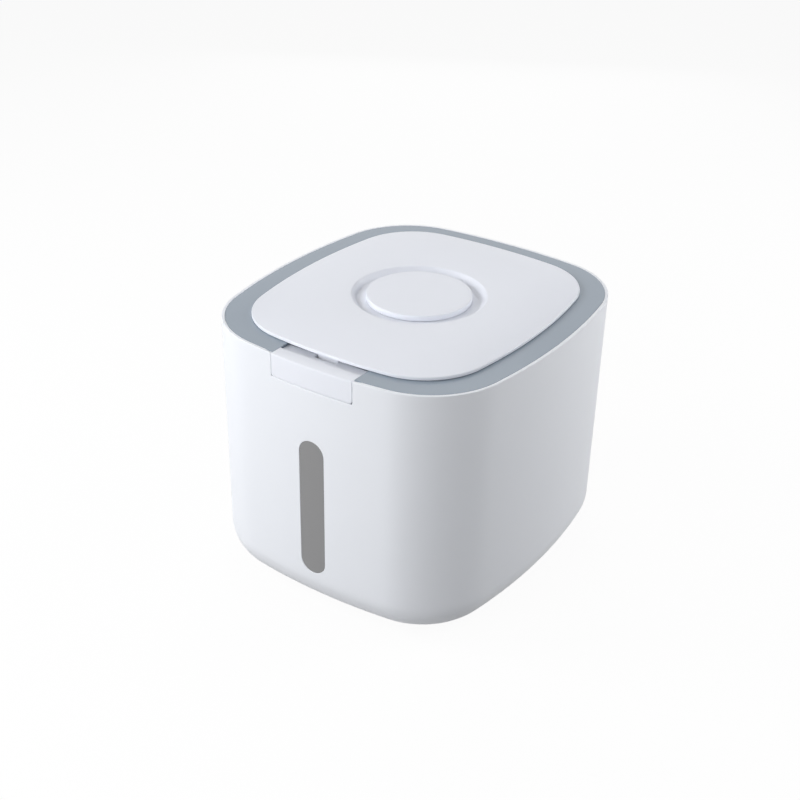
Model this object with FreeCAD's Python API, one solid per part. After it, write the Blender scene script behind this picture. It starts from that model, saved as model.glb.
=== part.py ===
import FreeCAD, Part
import math
import os
from collections import namedtuple

# Rice keeper: a rounded-square bucket with a level window, a collar in its mouth
# and a flip panel that a press button in the front wall lets go.
# Millimetres. +Z is up, the button and the window face -Y, and the origin is on the
# surface that the bucket stands on, under its centre.

V = FreeCAD.Vector
Plan = namedtuple("Plan", "half_width half_depth side_radius corner_radius")

# Bucket
BODY_WIDTH = 260.0
BODY_DEPTH = 286.0
BODY_HEIGHT = 218.7         # underside of the base to the rim
BODY_SIDE_RADIUS = 487.0    # the four sides bulge on this radius
BODY_CORNER_RADIUS = 69.4
WALL = 2.55
FLOOR = 2.6
WALL_DRAFT = 1.95           # the base is this much smaller on each side
BASE_ROUND = 32.5
RIM_BEVEL = 0.6
BEND_INSIDE = 27.0          # inner bend between floor and wall
BEND_STEPS = 3
BASE_RECESS = 0.8
LEDGE = 2.5                 # inner step that carries the collar
FRONT_REACH = 25.0          # depth of the blocks that cut through the front wall

# Feet
FOOT_RADIUS = 9.0
FOOT_PROUD = 1.5
FOOT_POCKET = 1.0
FOOT_FROM_FLAT_EDGE = 26.0
RECESS_FROM_FLAT_EDGE = 31.0

# Level window
WINDOW_WIDTH = 23.0
WINDOW_LOW = 35.2           # lower end above the base
WINDOW_HIGH = 155.8
WINDOW_SUNK = 0.25
WINDOW_FLANGE = 5.0
WINDOW_FLANGE_THICKNESS = 1.6
WINDOW_GASKET = 0.8
WINDOW_GASKET_GAP = 0.1     # between the gasket and the curved faces beside it

# Collar
COLLAR_SIDE = 22.1          # outer wall to panel, left and right
COLLAR_FRONT = 19.65        # outer wall to panel, front and rear
COLLAR_THICKNESS = 2.6
COLLAR_GAP = 0.15
COLLAR_SKIRT = 12.0
COLLAR_SKIRT_WALL = 1.6
SEAT_DEPTH = 3.5            # gasket seat below the collar's top
SEAT_WIDTH = 6.0
SEAT_WALL = 1.8
MOUTH_FROM_PANEL = 16.0     # panel edge to mouth edge
MOUTH_TUBE = 8.0            # height of the mouth's inner wall below the seat
HOOK_LENGTH = 14.0
HOOK_REACH = 1.8
HOOK_HEIGHT = 2.2

# Panel
PANEL_SIDE_RADIUS = 445.0
PANEL_CORNER_RADIUS = 56.5
PANEL_GAP = 0.5             # shadow gap above the collar
PANEL_LIFT = 3.0            # top edge above the collar
PANEL_CROWN = 2.9
PANEL_WALL = 2.2
PANEL_EDGE = 0.6            # bevel round the panel's top edge
PANEL_BORDER = 4.5          # the hollow under the panel reaches this far past the mouth
CROWN_REACH = 49.0          # the crown levels off this far inside the panel's edge
CROWN_STEPS = 3             # straight steps that follow the crown's arc within 0.05

# Finger groove and lift-out disc
DISC_RADIUS = 42.4
DISC_ABOVE_CROWN = 0.5
DISC_WALL = 1.8
DISC_TOP = 2.4
DISC_EDGE = 0.5             # bevel of the disc
DISC_SEAT_GAP = 0.3
GROOVE_RADIUS = 53.8
GROOVE_FLOOR_RADIUS = 50.0
GROOVE_DEPTH = 5.0          # below the disc's top
GROOVE_LIP = 0.8            # bevel of the groove's outer lip

# Desiccant cup
CUP_BORE = 38.0
CUP_WALL = 1.8
CUP_DEPTH = 22.0
CUP_FLANGE = 1.2
CUP_FLANGE_REACH = 2.0
CUP_LEDGE = 3.5
CUP_FIT = 0.3
CAP_PLUG_GAP = 1.0
CAP_PLUG_HEIGHT = 10.0
SEAL_HEIGHT = 2.0
SEAL_BELOW_GROOVE = 3.6
SEAL_CLEAR = 0.3
SCREEN_THICKNESS = 1.6
SCREEN_SLOT = 2.0
SCREEN_SLOTS = 9

# Lid liner and gasket
LINER_REACH = 5.5           # flange past the mouth edge
LINER_FLANGE = 1.2
LINER_WALL = 1.8
LINER_GAP = 1.2             # plug wall to mouth wall
LINER_DEPTH = 8.8
GASKET_INNER = 1.4
GASKET_OUTER = 4.6
GASKET_CLEAR = 0.3

# Hinge
HINGE_BEHIND_EDGE = 3.3     # axis inside the panel's rear edge
HINGE_BELOW_PANEL = 0.3
PIN_RADIUS = 1.0
PIN_END_INSET = 0.3
EAR_RADIUS = 1.8
EAR_BORE_CLEARANCE = 0.02
EAR_TURN_GAP = 0.25
EAR_LENGTH = 3.6
KNUCKLE_RADIUS = 2.1
KNUCKLE_BORE_CLEARANCE = 0.07
KNUCKLE_FIRST = 17.0
KNUCKLE_LENGTH = 11.0
KNUCKLE_ROOT = 0.6          # how deep the knuckles and the tongue are rooted in the panel
HINGE_SIDE_GAP = 0.4
TROUGH_HALF_LENGTH = 61.0
TROUGH_FRONT = 4.0
TROUGH_REAR = 4.7
TROUGH_BEYOND_PANEL = 3.9
TROUGH_DEPTH = 4.4          # below the hinge axis
TROUGH_WALL = 1.6
SPRING_COIL_RADIUS = 1.4
SPRING_COIL_WIRE = 0.25
SPRING_COIL_TURNS = 3.75    # both ends of the wire face the front
SPRING_COIL_PITCH = 1.2
SPRING_LEG = 3.7
COIL_SIDES = 12             # straight lengths in one turn of a spring

# Press button
BUTTON_HALF_WIDTH = 36.95
BUTTON_HEIGHT = 19.0
BUTTON_TOP_DEPTH = 13.0
BUTTON_FACE = 2.2
BUTTON_TOP = 2.0
BUTTON_GAP = 0.3
BUTTON_CORNER = 2.6
BUTTON_EDGE = 0.6
BUTTON_TRAVEL = 3.0
NOTCH_CORNER = 1.0
NOTCH_BEHIND_PANEL = 8.0    # the collar's notch ends this far inside the panel's edge
SHELF_DROP = 1.8
SHELF_THICKNESS = 1.8
SHELF_DEPTH = 5.5           # in front of the tongue
SHELF_CLEAR = 1.0            # pressed shelf to the collar behind it
SHELF_SLOT_GAP = 0.8         # shelf to each side of the tongue
BUTTON_RISER = 2.0

# Catch: tongue on the panel, slide under the button
TONGUE_HALF_WIDTH = 9.0
TONGUE_FROM_EDGE = 2.86     # panel edge to the tongue's front face
TONGUE_THICKNESS = 2.0
BARB_REACH = 1.5
BARB_HEIGHT = 2.2
BARB_CLEAR = 0.2
CATCH_GAP = 0.3
CATCH_BAR = 2.6
SLIDE_THICKNESS = 1.9
SLIDE_HALF_WIDTH = 30.0
SLIDE_WING_DEPTH = 7.6
SLIDE_BEHIND_WALL = 0.3
WINDOW_SIDE_GAP = 3.0
SPRING_SEAT_X = 21.5
SPRING_RADIUS = 3.0
SPRING_WIRE = 0.35
SPRING_TURNS = 4
SPRING_SEAT_THICKNESS = 2.0
SPRING_SEAT_Y = 9.0         # rear of the slide to the seat's rear face
PEG_RADIUS = 1.9
PEG_LENGTH = 3.5

# Latch housing
HOUSING_HALF_WIDTH = 43.0
HOUSING_WALL = 1.7
HOUSING_FLOOR = 1.8
HOUSING_TO_TUBE = 0.5
HOUSING_EAR_OUT = 6.0       # screw beyond the housing's side
HOUSING_EAR_HEIGHT = 9.0
BOSS_RADIUS = 3.2
BOSS_FRONT = 20.0           # bosses behind the outer wall
SCREW_RADIUS = 1.3
SCREW_HEAD_RADIUS = 2.7
SCREW_HEAD = 1.6
SCREW_LENGTH = 8.0
RAIL_X = 27.5
RAIL_WIDTH = 2.4
RAIL_CLEAR = 0.2
BUTTON_BOSS_X = 17.0

# Worked out from the values above
BODY_PLAN = Plan(BODY_WIDTH / 2, BODY_DEPTH / 2, BODY_SIDE_RADIUS, BODY_CORNER_RADIUS)
PANEL_PLAN = Plan(BODY_WIDTH / 2 - COLLAR_SIDE, BODY_DEPTH / 2 - COLLAR_FRONT,
                  PANEL_SIDE_RADIUS, PANEL_CORNER_RADIUS)
BASE_Z = FOOT_PROUD
RIM_Z = BASE_Z + BODY_HEIGHT
COLLAR_LOW = RIM_Z - COLLAR_THICKNESS
SEAT_Z = RIM_Z - SEAT_DEPTH
SEAT_LOW = SEAT_Z - SEAT_WALL
TUBE_LOW = SEAT_LOW - MOUTH_TUBE + SEAT_WALL
PANEL_LOW = RIM_Z + PANEL_GAP
PANEL_EDGE_Z = RIM_Z + PANEL_LIFT
DISC_Z = PANEL_EDGE_Z + PANEL_CROWN + DISC_ABOVE_CROWN
MIDDLE_Z = PANEL_EDGE_Z + PANEL_CROWN
GROOVE_Z = DISC_Z - GROOVE_DEPTH
FRONT = -BODY_PLAN.half_depth
HINGE_Y = PANEL_PLAN.half_depth - HINGE_BEHIND_EDGE
HINGE_Z = PANEL_LOW - HINGE_BELOW_PANEL
NOTCH_HALF_WIDTH = BUTTON_HALF_WIDTH + BUTTON_GAP
BUTTON_LOW = RIM_Z - BUTTON_HEIGHT
NOTCH_LOW = BUTTON_LOW - BUTTON_GAP
TONGUE_Y = -PANEL_PLAN.half_depth + TONGUE_FROM_EDGE
TONGUE_REAR = TONGUE_Y + TONGUE_THICKNESS
BAR_Y = TONGUE_REAR + CATCH_GAP
SLIDE_REAR = BAR_Y + CATCH_BAR
SLIDE_Z = SEAT_LOW - CATCH_GAP - SLIDE_THICKNESS
BARB_Z = SLIDE_Z - BARB_CLEAR
NOTCH_REAR = -PANEL_PLAN.half_depth + NOTCH_BEHIND_PANEL
TUBE_FRONT = -PANEL_PLAN.half_depth + MOUTH_FROM_PANEL - SEAT_WALL
HOUSING_REAR = TUBE_FRONT - HOUSING_TO_TUBE
HOUSING_BACK_FACE = HOUSING_REAR - HOUSING_WALL
HOUSING_FLOOR_Z = NOTCH_LOW - BUTTON_GAP
HOUSING_EAR_X = HOUSING_HALF_WIDTH + HOUSING_EAR_OUT
SPRING_SEAT_REAR = SLIDE_REAR - SPRING_SEAT_Y
SPRING_Z = SLIDE_Z - BARB_CLEAR - SPRING_RADIUS - SPRING_WIRE
CUP_TOP = GROOVE_Z
CUP_LOW = CUP_TOP - CUP_DEPTH - SCREEN_THICKNESS - CUP_FLANGE
LINER_TOP = PANEL_LOW
LINER_LOW = LINER_TOP - LINER_FLANGE - LINER_DEPTH


def plan_arcs(plan):
    """Eight tangent arcs, as centre, radius, start and end angle: four long sides and four corners."""
    side_x = plan.half_width - plan.side_radius
    side_y = plan.half_depth - plan.side_radius
    span = math.hypot(side_x, side_y)
    rise = math.sqrt((plan.side_radius - plan.corner_radius) ** 2 - (span / 2) ** 2)
    corner_x = side_x / 2 - rise * side_y / span
    corner_y = side_y / 2 - rise * side_x / span
    low = math.degrees(math.atan2(corner_y, corner_x - side_x))
    high = math.degrees(math.atan2(corner_y - side_y, corner_x))
    side = plan.side_radius
    corner = plan.corner_radius
    return [
        (V(side_x, 0, 0), side, -low, low),
        (V(corner_x, corner_y, 0), corner, low, high),
        (V(0, side_y, 0), side, high, 180 - high),
        (V(-corner_x, corner_y, 0), corner, 180 - high, 180 - low),
        (V(-side_x, 0, 0), side, 180 - low, 180 + low),
        (V(-corner_x, -corner_y, 0), corner, 180 + low, 180 + high),
        (V(0, -side_y, 0), side, 180 + high, 360 - high),
        (V(corner_x, -corner_y, 0), corner, 360 - high, 360 - low),
    ]


def outline(plan, inset, z):
    """The plan's closed wire at height z, moved inwards by inset."""
    up = V(0, 0, 1)
    return Part.Wire([Part.makeCircle(radius - inset, centre + up * z, up, start, end)
                      for centre, radius, start, end in plan_arcs(plan)])


def prism(plan, inset, z_low, z_high):
    """Upright block with the plan's outline."""
    return Part.Face(outline(plan, inset, z_low)).extrude(V(0, 0, z_high - z_low))


def wrapped(plan, profile):
    """Solid whose wall follows the plan. The profile runs upwards in (inset, height) stops:
    two stops are a straight stretch and three are an arc through the middle one."""
    up = V(0, 0, 1)
    walls = []
    for centre, radius, start, end in plan_arcs(plan):
        outwards = V(math.cos(math.radians(start)), math.sin(math.radians(start)), 0)
        edges = []
        for stops in profile:
            points = [centre + outwards * (radius - inset) + up * z for inset, z in stops]
            edge = Part.makeLine(*points) if len(points) == 2 else Part.Arc(*points).toShape()
            edges.append(edge)
        walls += Part.Wire(edges).revolve(centre, up, end - start).Faces
    low_end = profile[0][0]
    high_end = profile[-1][-1]
    caps = [Part.Face(outline(plan, *low_end)), Part.Face(outline(plan, *high_end))]
    shell = Part.makeShell(walls + caps)
    shell.sewShape()
    solid = Part.makeSolid(shell)
    if solid.Volume < 0:
        solid.reverse()
    return solid


def drafted(inset, z):
    """Inset of the bucket's drafted wall at height z."""
    return inset + WALL_DRAFT * (RIM_Z - z) / BODY_HEIGHT


def body_block(inset, z_low, z_high):
    """Block inside the bucket's drafted wall, moved inwards by inset."""
    return wrapped(BODY_PLAN, [((drafted(inset, z_low), z_low), (drafted(inset, z_high), z_high))])


def bucket_outside():
    """Drafted block with a round lower edge and a bevelled rim."""
    lean = math.atan(WALL_DRAFT / BODY_HEIGHT)
    halfway = (math.pi / 2 + lean) / 2
    z = BASE_Z + BASE_ROUND
    inset = drafted(0, z) + BASE_ROUND / math.cos(lean)
    bend = (inset - BASE_ROUND * math.sin(halfway), z - BASE_ROUND * math.cos(halfway))
    wall_start = (inset - BASE_ROUND * math.cos(lean), z - BASE_ROUND * math.sin(lean))
    shoulder = (drafted(0, RIM_Z - RIM_BEVEL), RIM_Z - RIM_BEVEL)
    return wrapped(BODY_PLAN, [((inset, BASE_Z), bend, wall_start), (wall_start, shoulder),
                               (shoulder, (RIM_BEVEL, RIM_Z))])


def bucket_inside():
    """The bucket's room: flat floor, a bend in straight steps, then the drafted wall."""
    z = BASE_Z + FLOOR + BEND_INSIDE
    inset = drafted(WALL, z) + BEND_INSIDE
    turns = [math.pi / 2 * step / BEND_STEPS for step in range(BEND_STEPS + 1)]
    stops = [(inset - BEND_INSIDE * math.sin(turn), z - BEND_INSIDE * math.cos(turn)) for turn in turns]
    stops.append((drafted(WALL, RIM_Z + 1), RIM_Z + 1))
    return wrapped(BODY_PLAN, list(zip(stops, stops[1:])))


def box(x_low, x_high, y_low, y_high, z_low, z_high):
    return Part.makeBox(x_high - x_low, y_high - y_low, z_high - z_low, V(x_low, y_low, z_low))


def post(radius, x, y, z_low, z_high):
    return Part.makeCylinder(radius, z_high - z_low, V(x, y, z_low))


def level_edges(shape, z):
    """Edges that lie flat at height z."""
    return [edge for edge in shape.Edges
            if abs(edge.BoundBox.ZMin - z) < 0.01 and abs(edge.BoundBox.ZMax - z) < 0.01]


def slot_bar(half_width, z_low, z_high, y_low, y_high):
    """Bar along Y whose section is an upright slot with round ends."""
    low = z_low + half_width
    high = z_high - half_width
    bar = box(-half_width, half_width, y_low, y_high, low, high)
    for z in (low, high):
        bar = bar.fuse(Part.makeCylinder(half_width, y_high - y_low, V(0, y_low, z), V(0, 1, 0)))
    return bar.removeSplitter()


def front_band(width_more, outer, inner):
    """Piece of the front wall band between two insets, inside a slot width_more wider than the window."""
    low = BASE_Z + WINDOW_LOW - width_more
    high = BASE_Z + WINDOW_HIGH + width_more
    bar = slot_bar(WINDOW_WIDTH / 2 + width_more, low, high, FRONT - 1, FRONT + FRONT_REACH)
    band = body_block(outer, low - 2, high + 2).cut(body_block(inner, low - 3, high + 3))
    return bar.common(band)


def foot_places():
    flat_x = BODY_PLAN.half_width - WALL_DRAFT - BASE_ROUND - FOOT_FROM_FLAT_EDGE
    flat_y = BODY_PLAN.half_depth - WALL_DRAFT - BASE_ROUND - FOOT_FROM_FLAT_EDGE
    return [(x, y) for x in (-flat_x, flat_x) for y in (-flat_y, flat_y)]


def bucket_shell():
    shell = bucket_outside().cut(bucket_inside())
    ledge_low = COLLAR_LOW - 2 * LEDGE
    ledge = body_block(WALL / 2, ledge_low, COLLAR_LOW)
    stops = [(WALL, ledge_low - 1), (WALL, ledge_low), (WALL + LEDGE, ledge_low + LEDGE),
             (WALL + LEDGE, COLLAR_LOW + 1)]
    ledge = ledge.cut(wrapped(BODY_PLAN, list(zip(stops, stops[1:]))))
    ledge = ledge.cut(box(-HOUSING_EAR_X - 2 * BOSS_RADIUS, HOUSING_EAR_X + 2 * BOSS_RADIUS,
                          FRONT - 1, FRONT + FRONT_REACH, ledge_low - 1, RIM_Z))
    shell = shell.fuse(ledge)
    notch = box(-NOTCH_HALF_WIDTH, NOTCH_HALF_WIDTH, FRONT - 1, FRONT + FRONT_REACH,
                NOTCH_LOW, RIM_Z + 1)
    corners = [edge for edge in level_edges(notch, NOTCH_LOW) if edge.BoundBox.YLength > FRONT_REACH]
    shell = shell.cut(notch.makeFillet(NOTCH_CORNER, corners))
    shell = shell.cut(slot_bar(WINDOW_WIDTH / 2, BASE_Z + WINDOW_LOW, BASE_Z + WINDOW_HIGH,
                               FRONT - 1, FRONT + FRONT_REACH))
    for x, y in foot_places():
        shell = shell.cut(post(FOOT_RADIUS + CUP_FIT, x, y, BASE_Z - 1, BASE_Z + FOOT_POCKET))
    recess_inset = WALL_DRAFT + BASE_ROUND + RECESS_FROM_FLAT_EDGE
    shell = shell.cut(prism(BODY_PLAN, recess_inset, BASE_Z - 1, BASE_Z + BASE_RECESS))
    return shell


def base_feet():
    return Part.Compound([post(FOOT_RADIUS, x, y, 0, BASE_Z + FOOT_POCKET) for x, y in foot_places()])


def window_strip():
    inner = WALL + WINDOW_GASKET + WINDOW_FLANGE_THICKNESS
    plug = front_band(-COLLAR_GAP, WINDOW_SUNK, inner)
    flange = front_band(WINDOW_FLANGE, WALL + WINDOW_GASKET, inner)
    return plug.fuse(flange)


def window_gasket():
    ring = front_band(WINDOW_FLANGE, WALL + WINDOW_GASKET_GAP, WALL + WINDOW_GASKET - WINDOW_GASKET_GAP)
    return ring.cut(front_band(0, 0, WALL + 2 * WINDOW_GASKET))


def mouth_block(outset, z_low, z_high):
    """Block around the mouth, outset past its edge."""
    return prism(PANEL_PLAN, MOUTH_FROM_PANEL - outset, z_low, z_high)


def hinge_posts():
    """Inner and outer start of each lid knuckle and each collar ear, right side only."""
    knuckle = (KNUCKLE_FIRST, KNUCKLE_FIRST + KNUCKLE_LENGTH)
    inner_ear = (KNUCKLE_FIRST - HINGE_SIDE_GAP - EAR_LENGTH, KNUCKLE_FIRST - HINGE_SIDE_GAP)
    outer_ear = (knuckle[1] + HINGE_SIDE_GAP, knuckle[1] + HINGE_SIDE_GAP + EAR_LENGTH)
    return knuckle, [inner_ear, outer_ear]


def barrel(radius, x_low, x_high):
    return Part.makeCylinder(radius, x_high - x_low, V(x_low, HINGE_Y, HINGE_Z), V(1, 0, 0))


def both_sides(shape):
    """The shape and its mirror image left of the middle."""
    return [shape, shape.mirror(V(0, 0, 0), V(1, 0, 0))]


def housing_boss_places():
    return [(-HOUSING_EAR_X, FRONT + BOSS_FRONT), (HOUSING_EAR_X, FRONT + BOSS_FRONT)]


def hinge_trough(wall, z_high):
    """Room for the panel's rear edge to turn down into, or with a wall, the trough round it."""
    room = box(-TROUGH_HALF_LENGTH - wall, TROUGH_HALF_LENGTH + wall, HINGE_Y - TROUGH_FRONT - wall,
               HINGE_Y + TROUGH_REAR + wall, HINGE_Z - TROUGH_DEPTH - wall, z_high)
    return room.common(prism(PANEL_PLAN, -TROUGH_BEYOND_PANEL - wall, HINGE_Z - TROUGH_DEPTH - wall, z_high))


def lid_frame():
    frame = prism(BODY_PLAN, WALL + COLLAR_GAP, COLLAR_LOW, RIM_Z)
    skirt_inset = WALL + LEDGE + 2 * COLLAR_GAP
    skirt = prism(BODY_PLAN, skirt_inset, COLLAR_LOW - COLLAR_SKIRT, COLLAR_LOW)
    skirt = skirt.cut(prism(BODY_PLAN, skirt_inset + COLLAR_SKIRT_WALL,
                            COLLAR_LOW - COLLAR_SKIRT - 1, COLLAR_LOW + 1))
    clear_x = HOUSING_EAR_X + 2 * BOSS_RADIUS
    skirt_low = COLLAR_LOW - COLLAR_SKIRT
    skirt = skirt.cut(box(-clear_x, clear_x, FRONT, FRONT + FRONT_REACH, skirt_low - 1, COLLAR_LOW))
    frame = frame.fuse([skirt, mouth_block(SEAT_WIDTH + SEAT_WALL, SEAT_LOW, COLLAR_LOW),
                        mouth_block(SEAT_WALL, TUBE_LOW, SEAT_LOW + SEAT_WALL),
                        hinge_trough(TROUGH_WALL, COLLAR_LOW)])
    frame = frame.fuse([post(BOSS_RADIUS, x, y, COLLAR_LOW - HOUSING_EAR_HEIGHT, COLLAR_LOW)
                        for x, y in housing_boss_places()])
    frame = frame.fuse(snap_hooks(skirt_inset))
    frame = frame.cut(mouth_block(0, TUBE_LOW - 1, RIM_Z + 1))
    frame = frame.cut(mouth_block(SEAT_WIDTH, SEAT_Z, RIM_Z + 1))
    frame = frame.cut(hinge_trough(0, RIM_Z + 1))
    frame = frame.cut(box(-NOTCH_HALF_WIDTH, NOTCH_HALF_WIDTH, FRONT - 1, NOTCH_REAR,
                          skirt_low, RIM_Z + 1))
    for x, y in housing_boss_places():
        frame = frame.cut(post(SCREW_RADIUS, x, y, COLLAR_LOW - HOUSING_EAR_HEIGHT - 1, COLLAR_LOW))
    ears = []
    for low, high in hinge_posts()[1]:
        ear = barrel(EAR_RADIUS, low, high)
        ear = ear.fuse(box(low, high, HINGE_Y - TROUGH_FRONT - TROUGH_WALL / 2, HINGE_Y,
                           HINGE_Z - EAR_RADIUS, HINGE_Z))
        ears += both_sides(ear.cut(barrel(PIN_RADIUS + EAR_BORE_CLEARANCE, low - 1, high + 1)))
    return frame.fuse(ears)


def snap_hooks(skirt_inset):
    """Wedges on the skirt's outside that catch under the bucket's ledge."""
    top = COLLAR_LOW - 2 * LEDGE - COLLAR_GAP
    low = top - HOOK_HEIGHT
    wedge = wrapped(BODY_PLAN, [((skirt_inset, low), (skirt_inset - HOOK_REACH, top))])
    wedge = wedge.cut(prism(BODY_PLAN, skirt_inset + COLLAR_SKIRT_WALL / 2, low - 1, top + 1))
    half = HOOK_LENGTH / 2
    side_y = BODY_PLAN.half_depth / 3
    rear_x = BODY_PLAN.half_width / 3
    reach = max(BODY_WIDTH, BODY_DEPTH)
    hooks = []
    for y in (-side_y, side_y):
        hooks += both_sides(wedge.common(box(0, reach, y - half, y + half, low, top)))
    hooks += both_sides(wedge.common(box(rear_x - half, rear_x + half, 0, reach, low, top)))
    return hooks


def crown_height(inset):
    """Top of the panel's crown at this distance inside its edge."""
    radius = (CROWN_REACH ** 2 + PANEL_CROWN ** 2) / (2 * PANEL_CROWN)
    return MIDDLE_Z - radius + math.sqrt(radius ** 2 - (CROWN_REACH - inset) ** 2)


def panel_outside():
    """Straight edge with a bevel, then a low crown that ends level in the middle."""
    stops = [(0, PANEL_LOW), (0, PANEL_EDGE_Z - PANEL_EDGE)]
    for step in range(CROWN_STEPS + 1):
        inset = PANEL_EDGE + (CROWN_REACH - PANEL_EDGE) * step / CROWN_STEPS
        stops.append((inset, crown_height(inset)))
    return wrapped(PANEL_PLAN, list(zip(stops, stops[1:])))


def panel_hollow():
    """Room under the panel, inside a border that rests round the mouth."""
    inset = MOUTH_FROM_PANEL - PANEL_BORDER
    corner = (inset, crown_height(inset) - PANEL_WALL)
    return wrapped(PANEL_PLAN, [((inset, PANEL_LOW - 1), corner),
                                (corner, (CROWN_REACH, MIDDLE_Z - PANEL_WALL))])


def groove_edge(z):
    """Radius of the finger groove's slope at height z."""
    slope = (GROOVE_RADIUS - GROOVE_FLOOR_RADIUS) / (MIDDLE_Z - GROOVE_Z)
    return GROOVE_FLOOR_RADIUS + (z - GROOVE_Z) * slope


def lid_panel():
    bowl_low = GROOVE_Z - PANEL_WALL
    bowl_outside = turned([(0, bowl_low), (groove_edge(bowl_low) + PANEL_WALL, bowl_low),
                           (groove_edge(MIDDLE_Z) + PANEL_WALL, MIDDLE_Z), (0, MIDDLE_Z)])
    lip = MIDDLE_Z - GROOVE_LIP
    bowl_inside = turned([(0, GROOVE_Z), (GROOVE_FLOOR_RADIUS, GROOVE_Z), (groove_edge(lip), lip),
                          (groove_edge(lip) + 2 * GROOVE_LIP, MIDDLE_Z + GROOVE_LIP / 4),
                          (0, MIDDLE_Z + GROOVE_LIP / 4)])
    panel = panel_outside().cut(panel_hollow()).fuse(bowl_outside).cut(bowl_inside)
    rebate = CUP_BORE + CUP_WALL + CUP_FLANGE_REACH + CUP_FIT / 2
    panel = panel.cut(post(rebate, 0, 0, GROOVE_Z - CUP_FLANGE, DISC_Z))
    panel = panel.cut(post(CUP_BORE + CUP_WALL + CUP_FIT, 0, 0, bowl_low - 1, DISC_Z))
    channel_end = hinge_posts()[1][1][1] + HINGE_SIDE_GAP
    panel = panel.cut(barrel(EAR_RADIUS + EAR_TURN_GAP, -channel_end, channel_end))
    knuckle_low, knuckle_high = hinge_posts()[0]
    knuckle = barrel(KNUCKLE_RADIUS, knuckle_low, knuckle_high)
    knuckle = knuckle.fuse(box(knuckle_low, knuckle_high, HINGE_Y - KNUCKLE_RADIUS,
                               HINGE_Y + KNUCKLE_RADIUS / 2, HINGE_Z, PANEL_LOW + KNUCKLE_ROOT))
    panel = panel.fuse(both_sides(knuckle) + [catch_tongue()])
    bore = barrel(PIN_RADIUS + KNUCKLE_BORE_CLEARANCE, knuckle_low - 1, knuckle_high + 1)
    for side in both_sides(bore):
        panel = panel.cut(side)
    return panel


def catch_tongue():
    """Tongue under the panel's front edge with a barb that points to the rear."""
    barb_tip = BARB_Z - BARB_HEIGHT
    corners = [
        V(-TONGUE_HALF_WIDTH, TONGUE_Y, PANEL_LOW + KNUCKLE_ROOT),
        V(-TONGUE_HALF_WIDTH, TONGUE_Y, barb_tip),
        V(-TONGUE_HALF_WIDTH, TONGUE_REAR - TONGUE_THICKNESS / 2, barb_tip),
        V(-TONGUE_HALF_WIDTH, TONGUE_REAR + BARB_REACH, BARB_Z - BARB_HEIGHT / 4),
        V(-TONGUE_HALF_WIDTH, TONGUE_REAR + BARB_REACH, BARB_Z),
        V(-TONGUE_HALF_WIDTH, TONGUE_REAR, BARB_Z),
        V(-TONGUE_HALF_WIDTH, TONGUE_REAR, PANEL_LOW + KNUCKLE_ROOT),
    ]
    face = Part.Face(Part.makePolygon(corners + corners[:1]))
    return face.extrude(V(2 * TONGUE_HALF_WIDTH, 0, 0))


def lid_liner():
    liner = mouth_block(LINER_REACH, LINER_TOP - LINER_FLANGE, LINER_TOP)
    liner = liner.fuse(mouth_block(-LINER_GAP, LINER_LOW, LINER_TOP))
    liner = liner.cut(mouth_block(-LINER_GAP - LINER_WALL, LINER_LOW + LINER_WALL, LINER_TOP + 1))
    ring_low = LINER_LOW + LINER_WALL
    collar_radius = CUP_BORE + CUP_WALL + CUP_FIT
    ring = post(collar_radius + LINER_WALL, 0, 0, LINER_LOW, ring_low + LINER_DEPTH / 3)
    return liner.fuse(ring).cut(post(collar_radius, 0, 0, LINER_LOW - 1, LINER_TOP))


def lid_gasket():
    low = SEAT_Z + GASKET_CLEAR
    high = LINER_TOP - LINER_FLANGE
    return mouth_block(GASKET_OUTER, low, high).cut(mouth_block(GASKET_INNER, low - 1, high + 1))


def turned(points):
    """Ring or disc turned about the Z axis from (radius, height) corners."""
    corners = [V(radius, 0, z) for radius, z in points]
    return Part.Face(Part.makePolygon(corners + corners[:1])).revolve(V(0, 0, 0), V(0, 0, 1), 360)


def desiccant_cap():
    """Disc with a thick rim and a plug that goes into the cup."""
    plug = CUP_BORE - CAP_PLUG_GAP
    under = DISC_Z - DISC_TOP
    plug_low = under - CAP_PLUG_HEIGHT
    rim_low = GROOVE_Z + DISC_SEAT_GAP
    return turned([(0, DISC_Z), (DISC_RADIUS - DISC_EDGE, DISC_Z), (DISC_RADIUS, DISC_Z - DISC_EDGE),
                   (DISC_RADIUS, rim_low), (plug, rim_low), (plug, plug_low),
                   (plug - 2 * DISC_WALL, plug_low), (plug - 2 * DISC_WALL, under), (0, under)])


def cap_seal():
    """Flat soft ring stretched round the plug."""
    plug = CUP_BORE - CAP_PLUG_GAP
    middle = GROOVE_Z - SEAL_BELOW_GROOVE
    ring = post(CUP_BORE - SEAL_CLEAR, 0, 0, middle - SEAL_HEIGHT / 2, middle + SEAL_HEIGHT / 2)
    return ring.cut(post(plug, 0, 0, middle - SEAL_HEIGHT, middle + SEAL_HEIGHT))


def desiccant_cup():
    outside = CUP_BORE + CUP_WALL
    flange = outside + CUP_FLANGE_REACH
    ledge = CUP_BORE - CUP_LEDGE
    screen_z = CUP_LOW + CUP_FLANGE
    return turned([(CUP_BORE, CUP_TOP), (flange, CUP_TOP), (flange, CUP_TOP - CUP_FLANGE),
                   (outside, CUP_TOP - CUP_FLANGE), (outside, CUP_LOW), (ledge, CUP_LOW),
                   (ledge, screen_z), (CUP_BORE, screen_z)])


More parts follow.
